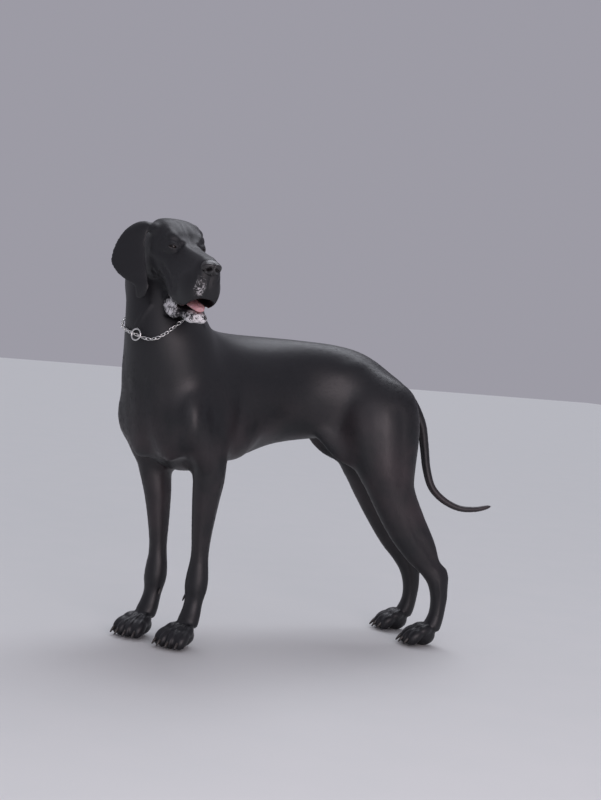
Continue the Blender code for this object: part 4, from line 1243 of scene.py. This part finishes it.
def tuft_length(places, matrix):
    """How long the coat's tufts are at each place."""
    spots = in_head(places, matrix)
    reach = np.linalg.norm(spots - np.array(FACE_MIDDLE), axis=1)
    on_head = ramp(reach, 0.30, -0.07)
    on_foot = ramp(places[:, 2], 0.16, -0.08)
    on_ear = on_head * ramp(np.abs(spots[:, 1]), 0.068, 0.006)
    length = BODY_TUFT + (FACE_TUFT - BODY_TUFT) * on_head
    length += (EAR_TUFT - length) * on_ear
    return length + (FOOT_TUFT - length) * on_foot


def skin_samples(skin, matrix, count):
    """Places spread evenly over the skin, closer where the tufts are short, with their normals."""
    rng = np.random.default_rng(SEED)
    skin.data.calc_loop_triangles()
    corners = read(skin.data.loop_triangles, "vertices", 3, np.int32)
    places = vertex_places(skin)
    normals = vertex_normals(skin)
    first, second, third = (places[corners[:, index]] for index in range(3))
    area = np.linalg.norm(np.cross(second - first, third - first), axis=1)
    middles = (first + second + third) / 3
    weight = area * (BODY_TUFT / tuft_length(middles, matrix)) ** 1.2
    bald = in_box(in_head(middles, matrix), *MOUTH_BOX) | (middles[:, 2] < SOLE_FLAT)
    weight[bald] = 0.0
    chosen = rng.choice(len(corners), size=count, p=weight / weight.sum())
    one, two = rng.random(count), rng.random(count)
    flip = one + two > 1
    one[flip], two[flip] = 1 - one[flip], 1 - two[flip]
    share = np.stack([1 - one - two, one, two], axis=1)[:, :, None]
    spots = (places[corners[chosen]] * share).sum(axis=1)
    ways = (normals[corners[chosen]] * share).sum(axis=1)
    return spots, ways / np.linalg.norm(ways, axis=1, keepdims=True), rng


def bake_places(spots, ways, matrix, owners):
    """Where each place lies on an unwrap of the skin: one tile for each region and facing."""
    front = owners[:, 0] < 0.0
    left = owners[:, 1] < np.where(front, -0.005, -0.02)
    leg = owners[:, 2] < LEG_TOP
    on_head = head_gap(owners, matrix) < HEAD_REACH
    region = np.where(on_head, 0, np.where(leg, 2 + front * 2 + left, 1))
    facing = np.argmax(np.abs(ways), axis=1)
    turned = ways[np.arange(len(ways)), facing] > 0
    row = facing * 2 + turned
    across = np.where(facing == 0, spots[:, 1] + 0.3, spots[:, 0] + 0.65) / TILE_SPAN
    upwards = np.where(facing == 2, spots[:, 1] + 0.3, spots[:, 2]) / TILE_SPAN
    return np.stack([(region + TILE_MARGIN + across) / 6, (row + TILE_MARGIN + upwards) / 6], axis=1)


def make_tufts(skin, matrix):
    """Thin tufts that lie over one another along the skin, in a few pieces."""
    spots, ways, rng = skin_samples(skin, matrix, TUFT_COUNT)
    count = len(spots)
    lie = lie_of_coat(spots, ways, matrix)
    turn = rng.normal(0.0, TUFT_STRAY, count)[:, None]
    lie = lie * np.cos(turn) + np.cross(ways, lie) * np.sin(turn)
    across = np.cross(ways, lie)
    length = (tuft_length(spots, matrix) * rng.uniform(*TUFT_LENGTHS, count))[:, None]
    lift = rng.uniform(*TUFT_LIFTS, count)[:, None]
    root = spots - ways * TUFT_ROOT
    half = across * length * TUFT_WIDTH / 2
    top = root + ways * (length * TUFT_THICKNESS + 0.0002) + lie * length * 0.25
    tip = root + lie * length * np.cos(lift) + ways * length * np.sin(lift)
    corners = np.stack([root + half, root - half, top, tip], axis=1)
    shade = ways + lie * 0.08
    bake = bake_places(spots, ways, matrix, spots)
    marks = markings_and_sheen(spots, matrix)
    pieces = []
    for index in range(TUFT_PIECES):
        part = slice(index * count // TUFT_PIECES, (index + 1) * count // TUFT_PIECES)
        own = corners[part].reshape(-1, 3)
        pieces.append(tuft_piece("coat_%d" % (index + 1), own, shade[part], marks[part], bake[part]))
    return pieces


def tuft_piece(name, corners, shade, marks, bake):
    """One joined mesh of tufts with its normals, marks with their painted sheen, and unwrap."""
    start = np.arange(len(corners) // 4)[:, None, None] * 4
    faces = (start + np.array([[0, 1, 2], [0, 2, 3], [2, 1, 3], [1, 0, 3]])[None]).reshape(-1, 3)
    loops = faces.ravel()
    mesh = bpy.data.meshes.new(name)
    mesh.vertices.add(len(corners))
    mesh.vertices.foreach_set("co", corners.ravel())
    mesh.loops.add(len(loops))
    mesh.loops.foreach_set("vertex_index", loops.astype(np.int32))
    mesh.polygons.add(len(faces))
    mesh.polygons.foreach_set("loop_start", np.arange(len(faces), dtype=np.int32) * 3)
    mesh.polygons.foreach_set("use_smooth", np.ones(len(faces), bool))
    mesh.update(calc_edges=True)
    offsets = np.array([[0.0, 0.0], [1.0, 0.0], [0.5, 0.4], [0.5, 1.0]]) * PATCH
    set_unwrap(mesh, bake[loops // 4] + offsets[loops % 4])
    set_attribute(mesh, "marks", np.repeat(marks, 4, axis=0))
    shade = shade / np.linalg.norm(shade, axis=1, keepdims=True)
    mesh.normals_split_custom_set_from_vertices(np.repeat(shade, 4, axis=0))
    piece = bpy.data.objects.new(name, mesh)
    bpy.context.scene.collection.objects.link(piece)
    return piece


def set_unwrap(mesh, places):
    """Write the unwrap used for baking, one place for each corner of a face."""
    mesh.uv_layers.new(name="OFBake").data.foreach_set("uv", places.astype(np.float32).ravel())


def unwrap_skin(skin, matrix):
    """Lay the skin's faces on the same unwrap as the tufts."""
    mesh = skin.data
    corners = read(mesh.loops, "vertex_index", 1, np.int32)
    totals = read(mesh.polygons, "loop_total", 1, np.int32)
    faces = np.repeat(np.arange(len(totals)), totals)
    ways = read(mesh.polygons, "normal")[faces]
    middles = read(mesh.polygons, "center")[faces]
    set_unwrap(mesh, bake_places(vertex_places(skin)[corners], ways, matrix, middles))


def set_attribute(mesh, name, values):
    """Write one number or one colour for each vertex of a mesh."""
    kind, field = ("FLOAT", "value") if np.ndim(values) == 1 else ("FLOAT_COLOR", "color")
    layer = mesh.attributes.new(name, kind, "POINT")
    layer.data.foreach_set(field, np.ascontiguousarray(values, np.float32).ravel())


# Small pieces

CORNEA_RISE = 0.0006
CORNEA_REACH = 0.42
RIM_REACH = 1.045
UPPER_RIM = 0.0006
LOWER_RIM = 0.0008
TONGUE_VOXEL = 0.0018


def make_eyeball(matrix, side, tag):
    """An eyeball with a slightly raised cornea. Its gaze attribute runs outwards from the pupil."""
    bpy.ops.mesh.primitive_uv_sphere_add(segments=40, ring_count=28, radius=1.0)
    piece = bpy.context.active_object
    piece.name = "eyeball" + tag
    frame = eye_frame(matrix, side)
    turn = Matrix.Rotation(math.pi / 2, 4, "Y")
    size = Matrix.Diagonal((EYE_RADIUS, EYE_RADIUS, EYE_RADIUS, 1.0))
    piece.data.transform(frame @ size @ turn)
    places = vertex_places(piece)
    out = (places - np.array(frame.translation)) / EYE_RADIUS
    gaze = np.arccos(np.clip(out @ np.array(frame.col[0][:3]), -1.0, 1.0))
    bulge = CORNEA_RISE * np.exp(-((gaze / CORNEA_REACH) ** 2))
    set_places(piece, places + out * bulge[:, None])
    set_attribute(piece.data, "gaze", gaze)
    piece.data.shade_smooth()
    return piece


def make_lid_rims(matrix, side, tag, steps=36, sides=8):
    """The bare wet rims of both lids, as a thin tube along their edge."""
    frame = eye_frame(matrix, side)
    rim = []
    for step in range(steps):
        angle = 2 * math.pi * step / steps
        across = math.cos(angle)
        up = math.copysign(1 - across * across, math.sin(angle))
        spot = Vector((0.0, LID_LENGTH * across, LID_HEIGHT * up))
        spot.x = math.sqrt((EYE_RADIUS * RIM_REACH) ** 2 - spot.y ** 2 - spot.z ** 2)
        rim.append((frame @ spot, up))
    shape = bmesh.new()
    rows = []
    for index, (place, up) in enumerate(rim):
        course = (rim[(index + 1) % steps][0] - rim[index - 1][0]).normalized()
        out = (place - frame.translation).normalized()
        wire = LOWER_RIM if up < 0 else UPPER_RIM
        ring = oval(place, out, course.cross(out), wire, wire * 1.3, sides=sides)
        rows.append([shape.verts.new(point) for point in ring])
    bridge(shape, rows + rows[:1])
    bmesh.ops.recalc_face_normals(shape, faces=shape.faces)
    piece = finish_mesh("lid_rims" + tag, shape)
    piece.data.shade_smooth()
    set_attribute(piece.data, "lower", np.repeat([1.0 if up < -0.02 else 0.0 for _, up in rim], sides))
    return piece


def make_nose_leather(matrix):
    """The nose with its nostrils, the slits and wings at their sides and the groove between them."""
    piece = make_nose(matrix, "nose_leather", 0.0004, 6)
    groove = [([(190, 0, 12), (190, 0, -4), (184, 0, -14)], 1.8, 2.2)]
    pit = ([(187, 10, 5), (185, 13.5, 2), (181, 16.5, -1)], 5, 12)
    slit = ([(181, 16.5, -1), (174, 21.5, -4), (166, 24.5, -5)], 2.4, 4.2)
    wing = ([(184, 6, 14), (178, 17, 14), (168, 24, 6)], 4, -1.4)
    press(piece, lay_out(lambda *point: matrix @ Vector(point), groove, [pit, slit, wing]))
    piece.data.shade_smooth()
    return piece


def make_wet_tongue(matrix):
    """The tongue with its middle groove."""
    piece = make_tongue(matrix, "tongue_flesh")
    melt(piece, TONGUE_VOXEL)
    soften(piece, TONGUE_VOXEL, 0.004)
    groove = [([(45, 0, -86), (100, 0, -88), (140, 0, -96)], 4, 2.2)]
    press(piece, lay_out(lambda *point: matrix @ Vector(point), groove, []))
    piece.data.shade_smooth()
    return piece


def make_claw_set():
    """All the claws, each a smooth curved cone."""
    piece = join("claws", [claw for side, tag in SIDES for claw in make_claws(side, tag)])
    apply_modifier(piece, "SUBSURF", levels=1, render_levels=1)
    piece.data.shade_smooth()
    return piece


# Collar

LINK_LENGTH = 0.0185
LINK_WIRE = 0.0017
LINK_PITCH = 0.0125
LINK_TWIST = 1.2
LINK_NARROWING = 0.52
LINK_ROLL = 0.7


def make_link(centre, course, out, roll):
    """One long twisted link of round wire, turned about the chain's course."""
    bpy.ops.mesh.primitive_torus_add(major_radius=LINK_LENGTH / 2 - LINK_WIRE, minor_radius=LINK_WIRE,
                                     major_segments=16, minor_segments=7)
    link = bpy.context.active_object
    for vertex in link.data.vertices:
        bend = Matrix.Rotation(vertex.co.x / LINK_LENGTH * LINK_TWIST, 3, "X")
        vertex.co = bend @ Vector((vertex.co.x, vertex.co.y * LINK_NARROWING, vertex.co.z))
    frame = frame_at(centre, course, out.cross(course).normalized(), out)
    link.data.transform(frame @ Matrix.Rotation(roll, 4, "X"))
    return link


def make_chain_links(skin):
    """The twisted links of the chain, laid round the neck on the coat."""
    loop = collar_loop(skin, 90, CHAIN_DEPTH + COAT_DEPTH + CHAIN_GAP)
    loop.append(loop[0])
    runs = [(last[0] - first[0]).length for first, last in zip(loop, loop[1:])]
    passed = np.concatenate([[0.0], np.cumsum(runs)])
    count = round(passed[-1] / LINK_PITCH)
    links = []
    for step in range(count):
        goal = passed[-1] * step / count
        index = int(np.searchsorted(passed, goal, side="right")) - 1
        share = (goal - passed[index]) / runs[index]
        (place, way), (next_place, next_way) = loop[index], loop[index + 1]
        course = (next_place - place).normalized()
        out = way.lerp(next_way, share)
        out = (out - course * out.dot(course)).normalized()
        roll = math.pi / 2 * (step % 2) + LINK_ROLL
        links.append(make_link(place.lerp(next_place, share), course, out, roll))
    piece = join("chain_links", links)
    piece.data.shade_smooth()
    return piece


def make_round_ring():
    """The polished ring on the chain."""
    normal = Vector(RING_NORMAL).normalized()
    centre = Vector(RING_PLACE) + ORIGIN_SHIFT + normal * RING_LIFT
    bpy.ops.mesh.primitive_torus_add(major_radius=RING_RADIUS, minor_radius=RING_WIRE,
                                     major_segments=64, minor_segments=16)
    piece = bpy.context.active_object
    piece.name = "throat_ring"
    turn = normal.to_track_quat("Z", "Y").to_matrix().to_4x4()
    piece.data.transform(Matrix.Translation(centre) @ turn)
    piece.data.shade_smooth()
    return piece


# Materials

class Number:
    """A shader socket that can be used in sums."""

    def __init__(self, finish, socket):
        self.finish = finish
        self.socket = socket

    def maths(self, operation, first, second):
        return self.finish.node("ShaderNodeMath", {"operation": operation}, {0: first, 1: second})

    def __add__(self, other):
        return self.maths("ADD", self, other)

    def __radd__(self, other):
        return self.maths("ADD", other, self)

    def __sub__(self, other):
        return self.maths("SUBTRACT", self, other)

    def __mul__(self, other):
        return self.maths("MULTIPLY", self, other)


class Finish:
    """A material built node by node around one Principled shader."""

    def __init__(self, name, **constants):
        self.material = bpy.data.materials.new(name)
        self.material.use_nodes = True
        self.tree = self.material.node_tree
        self.shader = self.tree.nodes["Principled BSDF"]
        for label, value in constants.items():
            self.shader.inputs[label.replace("_", " ").title().replace("Ior", "IOR")].default_value = value

    def node(self, kind, settings=None, values=None, output=0):
        made = self.tree.nodes.new(kind)
        for name, value in (settings or {}).items():
            setattr(made, name, value)
        for label, value in (values or {}).items():
            self.feed(made.inputs[label], value)
        return Number(self, made.outputs[output])

    def feed(self, socket, value):
        if isinstance(value, Number):
            self.tree.links.new(value.socket, socket)
        else:
            socket.default_value = value

    def set(self, label, value):
        self.feed(self.shader.inputs[label], value)

    def mix(self, factor, first, second):
        return self.node("ShaderNodeMix", {"data_type": "RGBA"}, {0: factor, 6: first, 7: second}, output=2)

    def shades(self, factor, first, second):
        return self.mix(factor, (*first, 1.0), (*second, 1.0))

    def here(self):
        return self.node("ShaderNodeTexCoord", output=3)

    def noise(self, place, scale, detail=3.0):
        return self.node("ShaderNodeTexNoise", None, {"Vector": place, "Scale": scale, "Detail": detail})

    def cells(self, place, scale):
        return self.node("ShaderNodeTexVoronoi", None, {"Vector": place, "Scale": scale})

    def attribute(self, name, output=2):
        return self.node("ShaderNodeAttribute", {"attribute_name": name}, output=output)

    def span(self, value, low, high, first=0.0, last=1.0):
        values = {"Value": value, "From Min": low, "From Max": high, "To Min": first, "To Max": last}
        return self.node("ShaderNodeMapRange", None, values)

    def bump(self, height, strength, distance):
        values = {"Height": height, "Strength": strength, "Distance": distance}
        self.set("Normal", self.node("ShaderNodeBump", None, values))


def coat_finish():
    """Short sleek black hair with grey flecks, bare lip skin, and low on the body a lighter brown cast that
    is partly the coat's own tint and partly painted sheen.
    """
    finish = Finish("black_coat", specular_ior_level=0.5)
    here = finish.here()
    marks = finish.attribute("marks", 0)
    parts = finish.node("ShaderNodeSeparateColor", None, {0: marks})
    fleck, bare, warm_and_sheen = (Number(finish, socket) for socket in parts.socket.node.outputs)
    dull = Number(finish, marks.socket.node.outputs["Alpha"])
    strands = finish.noise(here, 420.0, 4.0)
    fine = finish.noise(here, 1100.0, 2.0)
    broad = finish.span(finish.noise(here, 9.0), 0.35, 0.65)
    black = finish.shades(strands, (0.0035, 0.0036, 0.0050), (0.0085, 0.0085, 0.0112))
    # The brown is lighter than the black, partly the coat's own tint and partly painted sheen low on the
    # body.
    brown = finish.shades(strands, (0.0190, 0.0135, 0.0155), (0.0400, 0.0290, 0.0330))
    spots = finish.noise(here, 330.0) * 0.5 + finish.noise(here, 105.0, 4.0) * 0.6
    grey = finish.span(spots + fleck * 0.15, 0.62, 0.69) * fleck
    mottle = finish.span(finish.noise(here, 120.0, 2.0), 0.42, 0.58)
    pink = finish.shades(mottle, (0.42, 0.17, 0.17), (0.20, 0.08, 0.09))
    hair = finish.mix(grey, finish.mix(warm_and_sheen * broad, black, brown), (0.72, 0.71, 0.72, 1.0))
    finish.set("Base Color", finish.mix(bare, hair, pink))
    finish.set("Roughness", 0.37 + strands * 0.12 + dull * 0.14 - bare * 0.14)
    finish.bump(strands + fine * 0.5, 0.25, 0.0004)
    return finish.material


def plain_finish(name, scale, first, last, gloss=None, relief=None, **constants):
    """Two shades mixed by a noise, which the roughness may follow, under a fine relief."""
    finish = Finish(name, **constants)
    here = finish.here()
    shade = finish.noise(here, scale)
    finish.set("Base Color", finish.shades(shade, first, last))
    if gloss:
        finish.set("Roughness", finish.span(shade, 0.3, 0.7, *gloss))
    if relief:
        grain, fineness, strength, depth = relief
        height = finish.cells(here, fineness) if grain == "cells" else finish.noise(here, fineness)
        finish.bump(height, strength, depth)
    return finish.material


def leather_finish():
    """Moist black nose leather with a pebbled grain."""
    return plain_finish("nose_grain", 80.0, (0.006, 0.0055, 0.006), (0.016, 0.015, 0.016), (0.30, 0.46),
                        ("cells", 620.0, 0.3, 0.0003), coat_weight=0.35, coat_roughness=0.2)


def eye_finish():
    """A wet dark-brown eye with its pupil and a bit of white at the edge."""
    finish = Finish("wet_eye", roughness=0.14, specular_ior_level=0.3)
    gaze = finish.attribute("gaze")
    streak = finish.noise(finish.here(), 900.0)
    iris = finish.shades(streak, (0.003, 0.002, 0.001), (0.014, 0.007, 0.004))
    white = finish.shades(streak, (0.040, 0.030, 0.030), (0.070, 0.050, 0.050))
    inner = finish.mix(finish.span(gaze, 0.20, 0.26), (0.002, 0.002, 0.003, 1.0), iris)
    finish.set("Base Color", finish.mix(finish.span(gaze, 0.78, 0.86), inner, white))
    return finish.material


def rim_finish():
    """Bare lid rims, paler below."""
    finish = Finish("lid_skin", roughness=0.5, specular_ior_level=0.3)
    spots = finish.noise(finish.here(), 500.0)
    pale = finish.shades(spots, (0.060, 0.055, 0.057), (0.10, 0.09, 0.095))
    finish.set("Base Color", finish.mix(finish.attribute("lower"), (0.008, 0.007, 0.008, 1.0), pale))
    return finish.material


def tongue_finish():
    """Moist pink tongue with fine buds."""
    return plain_finish("pink_tongue", 90.0, (0.66, 0.42, 0.43), (0.40, 0.17, 0.19),
                        relief=("cells", 900.0, 0.4, 0.0004), roughness=0.32, subsurface_weight=0.1)


def claw_finish():
    """Dark horn with a fine grain."""
    return plain_finish("dark_claw", 500.0, (0.014, 0.012, 0.012), (0.055, 0.048, 0.044),
                        relief=("noise", 500.0, 0.2, 0.0003), roughness=0.35)


def steel_finish():
    """Polished steel with fine scratches and a little dullness."""
    return plain_finish("chain_steel", 240.0, (0.62, 0.61, 0.59), (0.84, 0.84, 0.83), (0.14, 0.34),
                        ("noise", 1500.0, 0.15, 0.0002), metallic=1.0)


# Stage

CAMERA_TARGET = (0.0789, 0.1671, 0.645)
CAMERA_AZIMUTH = math.radians(-32)
CAMERA_HEIGHT_ANGLE = math.radians(2.5)
CAMERA_ROLL = math.radians(5.5)
CAMERA_DISTANCE = 3.95
LENS = 63.0

# Name, kind, place, target, spread, power and colour
LIGHTS = (
    ("sky", "SUN", (1.3, 1.3, 4.0), (0.0, 0.0, 0.5), 0.8, 1.5, (0.90, 0.92, 1.0)),
    ("side", "AREA", (-0.7, -4.2, 1.2), (0.3, 0.0, 0.5), 2.3, 58.0, (1.0, 0.86, 0.90)),
    ("front", "AREA", (-2.8, -3.4, 2.1), (-0.3, 0.0, 0.8), 3.0, 22.0, (0.96, 0.92, 1.0)),
)

# The first letters of the nodes that the skin doesn't stand for
SMALL_NODES = ("nose", "tongue", "eye", "claw", "dewclaw", "collar")


def set_camera():
    """A camera at the photograph's viewing angle."""
    bpy.ops.object.camera_add()
    camera = bpy.context.active_object
    camera.name = "camera"
    camera.data.lens = LENS
    camera.data.sensor_width = 36.0
    camera.data.clip_end = 60.0
    turn = Matrix.Rotation(CAMERA_AZIMUTH, 4, "Z")
    turn = turn @ Matrix.Rotation(math.pi / 2 - CAMERA_HEIGHT_ANGLE, 4, "X")
    turn = turn @ Matrix.Rotation(CAMERA_ROLL, 4, "Z")
    back = Matrix.Translation((0.0, 0.0, CAMERA_DISTANCE))
    camera.matrix_world = Matrix.Translation(CAMERA_TARGET) @ turn @ back
    bpy.context.scene.camera = camera


def add_light(name, kind, place, target, spread, power, color):
    """A soft light aimed at a target. Its spread is a side in metres, or an angle for a sun."""
    bpy.ops.object.light_add(type=kind, location=place)
    light = bpy.context.active_object
    light.name = name
    light.data.energy = power
    light.data.color = color
    setattr(light.data, "angle" if kind == "SUN" else "size", spread)
    aim = Vector(target) - Vector(place)
    light.rotation_euler = aim.to_track_quat("-Z", "Y").to_euler()


def set_stage():
    """Floor, lights and the pale surroundings."""
    bpy.ops.mesh.primitive_plane_add(size=40.0)
    floor = bpy.context.active_object
    floor.name = "floor"
    pale = plain_finish("pale_floor", 6.0, (0.60, 0.61, 0.60), (0.63, 0.63, 0.62), roughness=0.75)
    floor.data.materials.append(pale)
    for light in LIGHTS:
        add_light(*light)
    world = bpy.data.worlds.new("pale_room")
    world.use_nodes = True
    shade = world.node_tree.nodes["Background"]
    shade.inputs["Color"].default_value = (0.84, 0.82, 0.94, 1.0)
    shade.inputs["Strength"].default_value = 0.40
    bpy.context.scene.world = world
    bpy.context.scene.view_settings.view_transform = "Standard"


def finish_piece(piece, material, nodes=()):
    """Give a piece its material and slot, set it on the body and let it stand for its nodes."""
    piece.data.materials.clear()
    piece.data.materials.append(material)
    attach(piece, "root")
    if nodes:
        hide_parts(*nodes)


def main():
    """Load the solids, make the skin, coat and small pieces, and set the stage."""
    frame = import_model()
    bpy.ops.object.select_all(action="DESELECT")
    matrix = head_matrix()
    names = list(frame["nodes"])
    skin = make_skin(matrix)
    skin.data.shade_smooth()
    # The marks include the painted sheen low on the body.
    set_attribute(skin.data, "marks", markings_and_sheen(vertex_places(skin), matrix))
    unwrap_skin(skin, matrix)
    coat = coat_finish()
    flesh = [name for name in names if not name.startswith(SMALL_NODES)]
    finish_piece(skin, coat, flesh)
    for tufts in make_tufts(skin, matrix):
        finish_piece(tufts, coat)
    finish_piece(make_nose_leather(matrix), leather_finish(), ["nose"])
    finish_piece(make_wet_tongue(matrix), tongue_finish(), ["tongue"])
    eye_material, rim_material = eye_finish(), rim_finish()
    for side, tag in SIDES:
        finish_piece(make_eyeball(matrix, side, tag), eye_material, ["eye" + tag])
        finish_piece(make_lid_rims(matrix, side, tag), rim_material)
    claws = [name for name in names if name.startswith(("claw", "dewclaw"))]
    finish_piece(make_claw_set(), claw_finish(), claws)
    steel = steel_finish()
    bpy.context.view_layer.update()
    finish_piece(make_chain_links(skin), steel, ["collar_chain"])
    finish_piece(make_round_ring(), steel, ["collar_ring"])
    set_stage()
    set_camera()


main()
